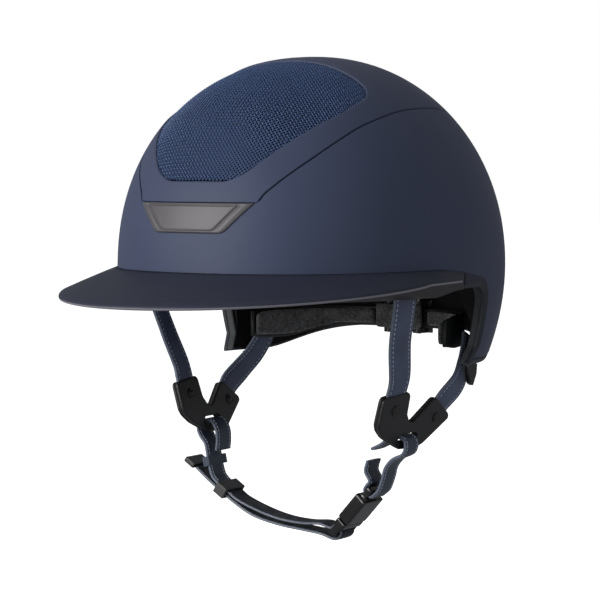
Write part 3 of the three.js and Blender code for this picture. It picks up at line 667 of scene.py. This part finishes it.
# ---------------------------------------------------------------- badge
def rounded_loop(corners, radii, sides, per_corner=6):
    """A closed outline with rounded corners and a fixed number of points on each side."""
    corners = np.asarray(corners, float)
    count = len(corners)
    loop = []
    for k in range(count):
        a, b, c = corners[k - 1], corners[k], corners[(k + 1) % count]
        d = corners[(k + 2) % count]
        start = b + unit(c - b) * radii[k]
        stop = c - unit(c - b) * radii[(k + 1) % count]
        loop += [start + (stop - start) * i / sides[k] for i in range(sides[k])]
        after = c + unit(d - c) * radii[(k + 1) % count]
        for i in range(per_corner):
            t = i / per_corner
            loop.append((1 - t) ** 2 * stop + 2 * t * (1 - t) * c + t ** 2 * after)
    return np.array(loop)


def make_badge():
    """A trapezoid plate with a bevelled end on each side and a fine raised border, and nothing on it."""
    def corners(drawn, ends):
        slope = (BADGE_TOP_HALF - BADGE_BOTTOM_HALF) / (BADGE_TOP - BADGE_BOTTOM)
        high, low = BADGE_TOP - drawn, BADGE_BOTTOM + drawn
        wide = BADGE_TOP_HALF - slope * drawn - ends
        narrow = BADGE_BOTTOM_HALF + slope * drawn - ends
        return [(wide, high), (-wide, high), (-narrow, low), (narrow, low)]

    # How far the outline is drawn in, and its ends besides, and its height above the shell.
    outside = [(0.0, 0.0, -0.0006), (0.0, 0.0, 0.0006), (0.0003, 0.0004, 0.0009), (0.0008, 0.0066, 0.0019),
               (0.00095, 0.0068, 0.0012)]
    border = [(0.0013, 0.0073, 0.0012), (0.00145, 0.0075, 0.0019), (0.0019, 0.0082, 0.0019),
              (0.0020, 0.0084, 0.0013), (0.0024, 0.0090, 0.0013)]
    loops = []
    for steps, rounder in ((outside, 1.0), (border, 0.7)):
        radii = [r * rounder for r in (0.0011, 0.0011, 0.003, 0.003)]
        loops += [(rounded_loop(corners(drawn, ends), radii, (44, 12, 28, 12)), height)
                  for drawn, ends, height in steps]
    inner = loops[-1][0]
    middle = np.array((0.0, (BADGE_TOP + BADGE_BOTTOM) / 2))
    for share in (0.85, 0.68, 0.5, 0.3, 0.1):
        shrunk = middle + (inner - middle) * np.array((share + (1 - share) * 0.25, share))
        loops.append((shrunk, 0.0013))
    points = []
    for loop, height in loops:
        flat = np.stack([loop[:, 0], np.zeros(len(loop)), loop[:, 1]], axis=-1)
        base = solve_axis(flat, 1, -1)
        points.append(base + shell_normal(base) * height)
    piece("badge_plate", np.vstack(points), tube_faces(len(points), len(loops[0][0])), [badge_paint],
          "helmet", ["front_badge"])


# ---------------------------------------------------------------- peak
def make_peak():
    sweep, reach, half, centre_y, edge_thick = math.radians(106), 0.145, 0.110, -0.040, 0.0026
    radius = edge_thick / 2
    rings = []
    for t in np.linspace(-sweep, sweep, 181):
        turn = t * 92 / 106
        forward = max(math.cos(t), 0.0)
        tail = ease(abs(math.degrees(t)), 88, 106)
        root = wall_point(turn, 0.0, -GAP)
        root[2] = 0.001 - 0.0022 * tail
        edge_level = -0.0074 - 0.0092 * forward ** 0.75
        edge = np.array((half * math.sin(t), centre_y - reach * math.cos(t), edge_level))
        close = wall_point(turn, 0.0, -0.0012)
        edge[:2] += (close[:2] - edge[:2]) * tail * 0.5
        out = (edge - root) * (1, 1, 0)
        width = max(np.linalg.norm(out), 1e-6)
        out /= width

        def along(share, z):
            return root + out * width * share + np.array((0, 0, z - root[2]))

        def slope(share):
            return root[2] + (edge[2] + edge_thick - root[2]) * share

        ring = [along(share, slope(share) + 0.0024 * forward * share * (1 - share))
                for share in np.linspace(0, 1 - min(0.2, radius / width), 12)]
        middle = edge - out * radius + np.array((0, 0, radius))
        ring += [middle + out * radius * math.cos(a) + np.array((0, 0, radius * math.sin(a)))
                 for a in np.radians((68, 45, 22, 0, -12, -40, -65, -90))]
        rim_z = -0.0155 + 0.0043 * ease(abs(math.degrees(t)), 82, 106)
        hollow = rim_z + (slope(0.4) - 0.005 - rim_z) * min(forward * 1.6, 1)
        middle_under = along(0.4, min(hollow, slope(0.4) - 0.004))
        under = spline([ring[-1], middle_under, wall_point(turn, rim_z, 0.0054)], 12)
        ring += list(under[1:])
        ring += [wall_point(turn, RIM_LEVEL - GAP, 0.0054), wall_point(turn, RIM_LEVEL - GAP, -GAP)]
        rings.append(ring)
    # Faces 15 to 17 of each ring, from the edge's outermost line round to its lower side, take the lighter
    # grey of the painted highlight.
    marks = [0] * 15 + [1] * 3 + [2] * (len(rings[0]) - 18)
    faces = tube_faces(len(rings), len(rings[0]))
    piece("peak_skin", np.vstack(rings), faces, [peak_paint, peak_rim_highlight, peak_under], "helmet",
          ["peak"], marks * (len(rings) - 1) + [2, 2])


# ---------------------------------------------------------------- rim bands
def rim_profile(drop):
    """The ear opening's edge in side view, from the peak's end to the strap clip."""
    arc_y, arc_z = EAR_CORNER_Y - drop - EAR_ARC, RIM_LEVEL - EAR_ARC - drop
    points = [(y, RIM_LEVEL - drop) for y in np.linspace(0.0108, arc_y, 16)[:-1]]
    points += [(arc_y + EAR_ARC * math.cos(a), arc_z + EAR_ARC * math.sin(a))
               for a in np.linspace(math.pi / 2, 0, 16)]
    points += [(EAR_CORNER_Y - drop, z) for z in np.linspace(arc_z, EAR_FOOT - drop * 0.4, 16)[1:]]
    points += [(EAR_CORNER_Y - drop + (EAR_TOE_Y - EAR_CORNER_Y) * s,
                EAR_FOOT - drop * 0.4 + (NAPE_LEVEL - drop - EAR_FOOT + drop * 0.4) * s)
               for s in np.linspace(0, 1, 7)[1:]]
    points += [(y, NAPE_LEVEL - drop) for y in np.linspace(EAR_TOE_Y - drop, EAR_BAND_END, 12)[1:]]
    return np.array(points)


# Across the band: how far it lies below the edge and inside the surface, in millimetres.
TRIM_SECTION = [(0.5, 0.8), (0.9, 0.3), (1.6, 0.2), (2.6, 0.25), (3.15, 0.6), (3.35, 1.1), (3.4, 1.8),
                (3.35, 2.6), (3.1, 3.0), (2.6, 3.2), (2.5, 3.5), (2.5, 6.6), (2.3, 7.3), (1.8, 7.7),
                (1.0, 7.8), (0.5, 7.5)]


# Over the shell's edge: the share of the lip's height, and how far inside the surface, in millimetres.
LIP_SECTION = [(0.0, -0.05), (1.0, -0.05), (1.0, -0.3), (0.85, -0.55), (0.5, -0.65), (0.0, -0.65)]


def lip_profile(share):
    """The edge of the lip that the ear band folds up over the shell, high at the peak and low behind."""
    edge, above = rim_profile(0.0), rim_profile(-0.006)
    height = np.interp(edge[:, 0], (0.010, 0.020, 0.030, 0.040), (6.5, 4.4, 2.7, 1.4))
    height = np.where(edge[:, 1] < RIM_LEVEL - 0.004, 0.4, height)
    return edge + (above - edge) * (share * height / 6)[:, None]


def make_trims():
    """The ear bands with their lips, and the plain band round the nape."""
    under = [(drop, inset, rim_profile(drop * MM)) for drop, inset in
             [TRIM_SECTION[0], (0.35, -0.05), (0.8, -0.5), (1.8, -0.05), *TRIM_SECTION[3:]]]
    lip = [(share, inset, lip_profile(share)) for share, inset in LIP_SECTION]
    band = under[:2] + lip + under[2:]
    # Faces 16 to 19 of the ear band, its inner lower face, take the lighter grey of the painted highlight;
    # faces 2 to 7, the lip, take the peak's paint.
    marks = [1 if 16 <= k <= 19 else 2 if 2 <= k <= 7 else 0 for k in range(len(band))]
    paints = [trim_black, trim_highlight, peak_paint]
    for side, sign in SIDES:
        strips = [solve_axis(np.insert(flat, 0, 0.0, axis=1), 0, 1, inset * MM) * (sign, 1, 1)
                  for _, inset, flat in band]
        trim_band(f"ear_trim_band_{side}", strips, paints, f"ear_trim_{side}", marks)
    # Faces 9 to 12 of the nape band, its inner lower face, take the lighter grey of the painted highlight.
    marks = [1 if 9 <= k <= 12 else 0 for k in range(len(TRIM_SECTION))]
    strips = []
    for drop, inset in TRIM_SECTION:
        level = NAPE_LEVEL - drop * MM
        first = bisect(lambda turn: wall_point(turn, level, inset * MM)[..., 1] < NAPE_BAND_START,
                       np.array(1.2), np.array(math.pi))
        turns = np.linspace(first, 2 * math.pi - first, 90)
        strips.append(wall_point(turns, nape_edge(turns) - drop * MM, inset * MM))
    trim_band("nape_trim_band", strips, paints[:2], "nape_trim", marks)


def trim_band(name, strips, paints, node, marks):
    points = np.stack(strips, axis=1)
    rows, count = points.shape[:2]
    piece(name, points.reshape(-1, 3), tube_faces(rows, count), paints, "helmet", [node],
          marks * (rows - 1) + [0, 0])


# ---------------------------------------------------------------- straps
def strap_frames(route, across, steps):
    """Centre, run, side and face directions at even steps along a strap's route."""
    centre = spline(np.array(route) * MM, steps)
    run = unit(np.gradient(centre, axis=0))
    side = unit([across(i / steps) for i in range(steps + 1)])
    face = unit(np.cross(run, side))
    side = unit(np.cross(face, run))
    return centre, run, side, face


def run_lengths(centre):
    """How far along a route each of its points lies, in millimetres."""
    return np.concatenate([[0], np.cumsum(np.linalg.norm(np.diff(centre, axis=0), axis=1))]) / MM


def strap_section(half, thick, rows, crown):
    """A strap's cut end: rounded edges in a lighter colour that paints their highlight, a groove under each
    stitch row and a padded middle.
    """
    t = thick / 2
    top = [(-half, 0.0, 1), (-half + 0.1, t * 0.5, 1), (-half + 0.4, t * 0.87, 1), (-half + 0.85, t, 0),
           (-rows - 0.7, t, 0), (-rows, t - 0.16, 0), (-rows + 0.8, t + crown * 0.4, 0),
           (-half * 0.35, t + crown, 0), (half * 0.35, t + crown, 0),
           (rows - 0.8, t + crown * 0.4, 0), (rows, t - 0.16, 0), (rows + 0.7, t, 0),
           (half - 0.85, t, 1), (half - 0.4, t * 0.87, 1), (half - 0.1, t * 0.5, 1)]
    return top + [(-w, -n, mark) for w, n, mark in top]


def strap(name, frames, half, thick, materials, body, stands_for, rows, crown):
    centre, run, side, face = frames
    section = strap_section(half, thick, rows, crown)
    steps, count = len(centre), len(section)
    points = np.zeros((steps, count, 3))
    length = run_lengths(centre)
    uvs = np.zeros((steps, count, 2))
    for k, (w, n, _) in enumerate(section):
        points[:, k] = centre + side * (w * MM) + face * (n * MM)
        uvs[:, k, 0] = w
        uvs[:, k, 1] = length
    # Faces marked 1, the rounded edges, and both end faces take the lighter colour of the painted
    # highlight.
    marks = [mark for _, _, mark in section] * (steps - 1)
    return piece(name, points.reshape(-1, 3), tube_faces(steps, count), materials, body, stands_for,
                 marks + [1, 1], uvs.reshape(-1, 2))


def stitches(name, frames, places, body, pitch=2.8, start=2.0, end=2.0):
    """Short raised stitches along a strap, at (across, off the middle) places, both in millimetres."""
    centre, run, side, face = frames
    length = run_lengths(centre)
    points, faces = [], []
    for across, off in places:
        for at in np.arange(start, length[-1] - end, pitch):
            c, r, s, f = (np.array([np.interp(at, length, a[:, k]) for k in range(3)])
                          for a in (centre, run, side, face))
            middle = c + s * across * MM + f * off * MM
            first = len(points)
            for along, wide in ((-0.9, 0.12), (-0.6, 0.3), (0.0, 0.38), (0.6, 0.3), (0.9, 0.12)):
                for a in range(6):
                    turn = math.radians(60 * a)
                    points.append(middle + r * along * MM + s * wide * MM * math.cos(turn)
                                  + f * wide * MM * math.sin(turn) * 0.8)
            faces += tube_faces(5, 6, first)
    return piece(name, points, faces, [thread], body)


# The divider's axes: back along the cheek, up, and outwards.
SLOT_AT = np.array((72.0, -6.0, -99.0))
BACK = unit((0.1, 1, 0))
OUT = unit(np.cross(BACK, unit((0.28, 0, 1))))
UP = unit(np.cross(OUT, BACK))


def on_divider(w, h, n=0.0):
    return SLOT_AT + BACK * w + UP * h + OUT * n


def mirrored(frames, sign):
    flip = np.array((sign, 1, 1))
    centre, run, side, face = frames
    return centre * flip, run * flip, side * flip, face * flip


def make_harness():
    front_route = [(91, -37, -2), (91, -37, -17), (84.8, -32, -42), on_divider(-18, 37),
                   on_divider(-18, 29), on_divider(-18, 20), on_divider(-18, 10.5)]
    front = strap_frames(front_route, lambda t: unit((0.23, 1, 0)) * (1 - min(1, t * 1.6))
                         + BACK * min(1, t * 1.6), 96)
    arm = unit(on_divider(32, 22) - on_divider(13, -3))
    arm_side = unit(np.cross(arm, OUT))
    rear_route = [(75.6, 61, -43), (76.6, 57.5, -52), (78.6, 50.5, -61.5), (81, 40, -70.5)]
    rear_route += [on_divider(24.5, 12) + arm * s for s in (9, 0, -8)]
    rear = strap_frames(rear_route, lambda t: np.array((-0.2, 1, 0)) * (1 - ease(t, 0.1, 0.6))
                        + arm_side * ease(t, 0.1, 0.6), 96)
    for side, sign in SIDES:
        for name, frames, half in (("front_strap", front, 9.0), ("rear_strap", rear, 8.0)):
            here = mirrored(frames, sign)
            strap(f"{name}_leather_{side}", here, half, 2.0, [strap_leather, strap_rim_highlight], "helmet",
                  [f"{name}_{side}"], half - 2.4, 0.25)
            places = [(w, n) for w in (-half + 2.4, half - 2.4) for n in (0.92, -0.92)]
            stitches(f"{name}_stitches_{side}", here, places, "helmet")


def in_frame(at, tilt, s, n):
    angle = math.radians(tilt)
    across, up = math.cos(angle), math.sin(angle)
    return (at[0] + s * across - n * up, at[1] + s * up + n * across)


def on_buckle(s, n):
    return in_frame((34.4, -151.6), 48, s, n)


def on_slider(s, n):
    return in_frame((-57.4, -141.2), -32, s, n)


def chin_frames(route, steps, sign=1.0):
    frames = strap_frames([(x, -6, z) for x, z in route], lambda t: np.array((0, 1, 0)), steps)
    return mirrored(frames, sign)


SLOT_PASS = [(53, -107.2), (60, -103.6), (66, -98.8), (69.5, -98.1), (72.4, -99), (75.6, -100.6),
             (76.5, -104.6), (74.6, -108.8)]
RIGHT_TAIL = [(62.2, -117), (61.6, -110.5), (62.4, -104), (65.6, -99.2)]


def make_leads():
    turn = [on_buckle(s, n) for s, n in ((30, -4), (26.5, -3.7), (23.6, -2.9), (22.9, 0), (23.6, 2.9),
                                         (26.5, 3.7), (30, 4))]
    left = chin_frames([*SLOT_PASS, (67.5, -112.4), (62.6, -118), (60.6, -124.5), *turn, (48.6, -121),
                        (50.2, -114.6)], 220)
    strap("lead_left_leather", left, 7.5, 1.8, [lead_leather, strap_rim_highlight], "helmet",
          ["lead_strap_left"], 5.4, 0.15)
    rows = [(w, n) for w in (-5.4, 5.4) for n in (0.82, -0.82)]
    stitches("lead_left_stitches", left, rows, "helmet", 2.1)
    # One leather strap runs through the right slot and down to the slider, so it bends at the hinge.
    right_route = [(-x, z) for x, z in RIGHT_TAIL + SLOT_PASS[3:]]
    right_route += [(-70.9, -113.2), (-69.2, -120), (-67.4, -128), (-65.2, -133.6), on_slider(-5, 1.3),
                    on_slider(-1.2, 1.3)]
    right = chin_frames(right_route, 160)
    whole = strap("lead_right_leather", right, 7.5, 1.8, [lead_leather, strap_rim_highlight], None,
                  ["slot_loop_right", "lead_strap_right"], 5.4, 0.15)
    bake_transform(whole)
    thread_rows = stitches("lead_right_stitches", right, rows, None, 2.1, 2.0, 4.0)
    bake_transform(thread_rows)


def make_chin_strap():
    lower = [(-78, -128.8), on_slider(-11, -1.3), on_slider(0, -1.3), on_slider(11, -1.3), (-34, -155),
             (-15, -158.8), (4, -160.4), (17, -161.6)]
    turn = [on_buckle(s, n) for s, n in ((-14.2, -2.4), (-11, -3.8), (-7.9, -3), (-7.5, 0), (-7.9, 3),
                                         (-11, 3.8))]
    upper = [(16, -155.6), (3, -156.4), (-14, -155.4), (-32, -151.4), on_slider(11, 1.3), on_slider(6, 1.3),
             on_slider(1.2, 1.3)]
    frames = chin_frames(lower + turn + upper, 240)
    # The tape's rounded edges and both ends take the painted highlight.
    strap("chin_strap_tape", frames, 7.5, 1.5, [chin_tape, tape_rim_highlight], "chin_strap",
          ["chin_strap"], 6.0, 0.12)


# ---------------------------------------------------------------- dividers, seen along their outward axis
def arc(cx, cy, radius, start, end, steps):
    turns = np.radians(np.linspace(start, end, steps))
    return [(cx + radius * math.cos(a), cy + radius * math.sin(a)) for a in turns]


def inset_loop(loop, amount):
    """Moves a counter-clockwise outline inwards."""
    along = unit(np.roll(loop, -1, axis=0) - np.roll(loop, 1, axis=0))
    return loop + np.stack([-along[:, 1], along[:, 0]], axis=-1) * amount


def bent(corners, radius, per_corner=5):
    """A closed outline with each corner rounded by the same amount."""
    loop = []
    for k, corner in enumerate(corners):
        before, after = corners[k - 1] - corner, corners[(k + 1) % len(corners)] - corner
        start = corner + before * min(radius / np.linalg.norm(before), 0.45)
        end = corner + after * min(radius / np.linalg.norm(after), 0.45)
        loop += [(1 - t) ** 2 * start + 2 * t * (1 - t) * corner + t * t * end
                 for t in np.linspace(0, 1, per_corner)]
    return np.array(loop)


def plate_with_holes(name, outline, holes, levels, node, sign):
    """A rounded plate: each level is a height on the divider's axis and how far its edge is drawn in."""
    edit = bmesh.new()
    ends = [[], []]
    for k, loop in enumerate([outline, *holes]):
        rows = []
        for height, drawn in levels:
            flat = inset_loop(loop, drawn if k == 0 else -min(drawn, 0.35))
            rows.append([edit.verts.new(on_divider(w, h, height) * MM * (sign, 1, 1)) for w, h in flat])
        for low, high in zip(rows, rows[1:]):
            for i in range(len(low)):
                j = (i + 1) % len(low)
                edit.faces.new((low[i], low[j], high[j], high[i]))
        for end, row in zip(ends, (rows[0], rows[-1])):
            end += [edit.edges.get((row[i], row[(i + 1) % len(row)])) for i in range(len(row))]
    for end in ends:
        bmesh.ops.triangle_fill(edit, use_beauty=True, edges=end)
    points = [tuple(v.co) for v in edit.verts]
    edit.verts.index_update()
    faces = [[v.index for v in face.verts] for face in edit.faces]
    edit.free()
    made = piece(name, points, faces, [black_plastic], "helmet", [node])
    made.data.polygons.foreach_set("use_smooth", [len(f) == 4 for f in faces])


def make_dividers():
    corners = [(-29.5, 27), (-31, 25), (-31, 10), (-29, 6), (-23, 1), (-6, -7), (11, -7.5), (17, -5.5),
               (37.5, 8.5), (37, 11.5), (22, 22.5), (19, 22.5)]
    corners += arc(1.5, 14.5, 5, 320, 200, 7) + [(-5, 15), (-6, 27), (-8, 29)]
    soft = bent(np.array(corners, float), 1.4)
    hole = np.array(arc(6.3, 0, 2.7, -90, 90, 12) + arc(-6.3, 0, 2.7, 90, 270, 12))
    rivets = {"front": (-18, 18.5), "rear": (24.5, 10.5)}
    shanks = [np.array(arc(w, h, 1.85, 0, 345, 24)) for w, h in rivets.values()]
    outer = [(0.06, 0.0), (1.5, 0.0), (1.9, 0.15), (2.2, 0.5), (2.35, 1.1)]
    for side, sign in SIDES:
        plate_with_holes(f"divider_front_{side}", soft, [hole, *shanks], outer, f"divider_cover_{side}",
                         sign)
        plate_with_holes(f"divider_back_{side}", soft, [hole, *shanks], [(-n, d) for n, d in outer],
                         f"divider_base_{side}", sign)
        for place, (w, h) in rivets.items():
            head = [(1.6, 0.0), (1.6, 2.3), (3.3, 2.35), (3.35, 2.7), (3.1, 3.05), (2.5, 3.2), (2.3, 2.95),
                    (1.9, 2.95), (1.7, 3.25), (1.0, 3.5), (0.02, 3.55)]
            rows = head[::-1] + [(r, -n) for r, n in head[1:]]
            points = [on_divider(w + r * math.cos(a), h + r * math.sin(a), n) * MM * (sign, 1, 1)
                      for r, n in rows for a in np.linspace(0, 2 * math.pi, 32, endpoint=False)]
            piece(f"snap_cap_{place}_{side}", points, tube_faces(len(rows), 32), [black_plastic],
                  "helmet", [f"snap_{place}_{side}"])


# ---------------------------------------------------------------- pads
CLOTH = {"use_pressure": True, "uniform_pressure_force": 4.0, "mass": 0.25, "tension_stiffness": 25,
         "compression_stiffness": 25, "bending_stiffness": 0.8, "quality": 4}
CLOTH_FRAMES = 20
PAD_SINK, PAD_RISE = 0.0005, 0.0014


def puff(name, node, body, voxel=0.0021):
    """A sewn pad: the solid's shape, inflated a little by cloth simulation."""
    source = nodes[node].data.copy()
    made = bpy.data.objects.new(name, source)
    bpy.context.scene.collection.objects.link(made)
    source.materials.clear()
    source.materials.append(textile)
    remesh = made.modifiers.new("even", "REMESH")
    remesh.mode = "VOXEL"
    remesh.voxel_size = voxel
    bake(made)
    rest = np.array([v.co for v in made.data.vertices])
    edit = bmesh.new()
    edit.from_mesh(made.data)
    for vertex in edit.verts:
        vertex.co -= vertex.normal * PAD_SINK
    edit.to_mesh(made.data)
    edit.free()
    cloth = made.modifiers.new("cloth", "CLOTH")
    for key, value in CLOTH.items():
        setattr(cloth.settings, key, value)
    cloth.settings.effector_weights.gravity = 0.0
    cloth.point_cache.frame_start = 1
    cloth.point_cache.frame_end = CLOTH_FRAMES
    for step in range(1, CLOTH_FRAMES + 1):
        bpy.context.scene.frame_set(step)
    bake(made)
    bpy.context.scene.frame_set(1)
    now = np.array([v.co for v in made.data.vertices])
    shift = now - rest
    size = np.linalg.norm(shift, axis=1, keepdims=True)
    now = rest + shift * np.minimum(1.0, PAD_RISE / np.maximum(size, 1e-9))
    made.data.vertices.foreach_set("co", now.astype(np.float32).ravel())
    smooth = made.modifiers.new("smooth", "SMOOTH")
    smooth.factor = 0.5
    smooth.iterations = 3
    finer = made.modifiers.new("finer", "SUBSURF")
    finer.levels = finer.render_levels = 1
    bake(made)
    smooth_faces(made.data)
    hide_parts(node)
    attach(made, body)


def bake(thing):
    """Applies every modifier to the mesh."""
    bpy.context.view_layer.update()
    shown = thing.evaluated_get(bpy.context.evaluated_depsgraph_get())
    mesh = bpy.data.meshes.new_from_object(shown)
    thing.modifiers.clear()
    old = thing.data
    thing.data = mesh
    bpy.data.meshes.remove(old)


def make_pads():
    puff("brow_pad_cloth", "brow_pad", "helmet")
    puff("crown_pad_cloth", "crown_pad", "helmet", 0.0028)
    puff("nape_pad_cloth_middle", "nape_pad_middle", "nape_cradle")
    for side, _ in SIDES:
        puff(f"temple_pad_cloth_{side}", f"temple_pad_{side}", "helmet")
        puff(f"nape_pad_cloth_{side}", f"nape_pad_{side}", f"wing_{side}")


# ---------------------------------------------------------------- frame nodes that keep their shape
def repainted(node, paint):
    shown = nodes[node]
    shown.data.materials.clear()
    shown.data.materials.append(paint)
    return shown


def dress(node, paint, width, segments=2, angle=30):
    shown = repainted(node, paint)
    smooth_faces(shown.data)
    bevelled(shown, width, segments, angle)


def worn_round(node, paint, voxel, passes):
    """Softens every edge of a moulded piece, as a tool with generous radii would leave it."""
    shown = repainted(node, paint)
    even = shown.modifiers.new("even", "REMESH")
    even.mode = "VOXEL"
    even.voxel_size = voxel
    even.use_smooth_shade = True
    soft = shown.modifiers.new("soft", "SMOOTH")
    soft.factor = 0.5
    soft.iterations = passes


def make_wings():
    """The stiff wings of the nape cradle, with rolled edges and a barrel round each pin."""
    pin, steps, turns = (11, 109.3), 60, 32
    centre = spline([pin, (24, 108.3), (42, 101), (56, 88), (66, 70), (71, 52), (72, 39)], steps)
    run = unit(np.gradient(centre, axis=0))
    outward = np.stack([-run[:, 1], run[:, 0]], axis=-1)
    corner = [(math.sin(a), math.cos(a)) for a in np.radians((0, 30, 60, 90))]
    points = []
    for i, (place, away) in enumerate(zip(centre, outward)):
        t = i / steps
        high = -31.5 + 0.6 * ease(t, 0.1, 0.6) - 2 * ease(t, 0.8, 1)
        low = -44.5 - 6.5 * ease(t, 0.35, 0.7) + 1.5 * ease(t, 0.8, 1)
        upper = [(0.1 + x, high - 1 + z) for x, z in corner]
        lower = [(0.1 + x, low + 1 - z) for x, z in corner]
        ring = upper + lower[::-1] + [(-n, z) for n, z in lower] + [(-n, z) for n, z in upper[::-1]]
        points += [(*(place + away * n), z) for n, z in ring]
    faces = tube_faces(steps + 1, 4 * len(corner))
    start = len(points)
    barrel = [(1.8, -44.2), (3.0, -44.5), (3.3, -44.2), (3.3, -31.8), (3.0, -31.5), (1.8, -31.8)]
    points += [(pin[0] + r * math.cos(a), pin[1] + r * math.sin(a), z)
               for a in np.linspace(0, 2 * math.pi, turns, endpoint=False) for r, z in barrel]
    faces += [[start + (i - start) % (turns * len(barrel)) for i in face]
              for face in grid_faces(turns + 1, len(barrel), True, start)]
    for side, sign in SIDES:
        piece(f"nape_wing_shell_{side}", np.array(points) * MM * (sign, 1, 1), faces, [ear_leather],
              f"wing_{side}", [f"nape_wing_{side}"])


def dress_frame():
    dress("foam_liner", foam_black, 0.0012, 3, 40)
    dress("cradle_frame", black_plastic, 0.0004)
    worn_round("strap_end", grey_plastic, 0.00035, 5)
    worn_round("chin_slider", grey_plastic, 0.00035, 5)
    dress("lead_keeper_right", lead_leather, 0.0005, 3)
    worn_round("buckle_female", gloss_plastic, 0.00048, 30)
    worn_round("buckle_male", gloss_plastic, 0.00048, 16)
    for side, _ in SIDES:
        dress(f"wing_pin_{side}", pin_steel, 0.0003)
        worn_round(f"strap_clip_{side}", black_plastic, 0.0003, 5)


studio()
floor_and_backdrop()
make_outer_shell()
make_crown_panel()
make_vent()
make_badge()
make_peak()
make_trims()
make_harness()
make_leads()
make_chin_strap()
make_dividers()
make_pads()
make_wings()
dress_frame()
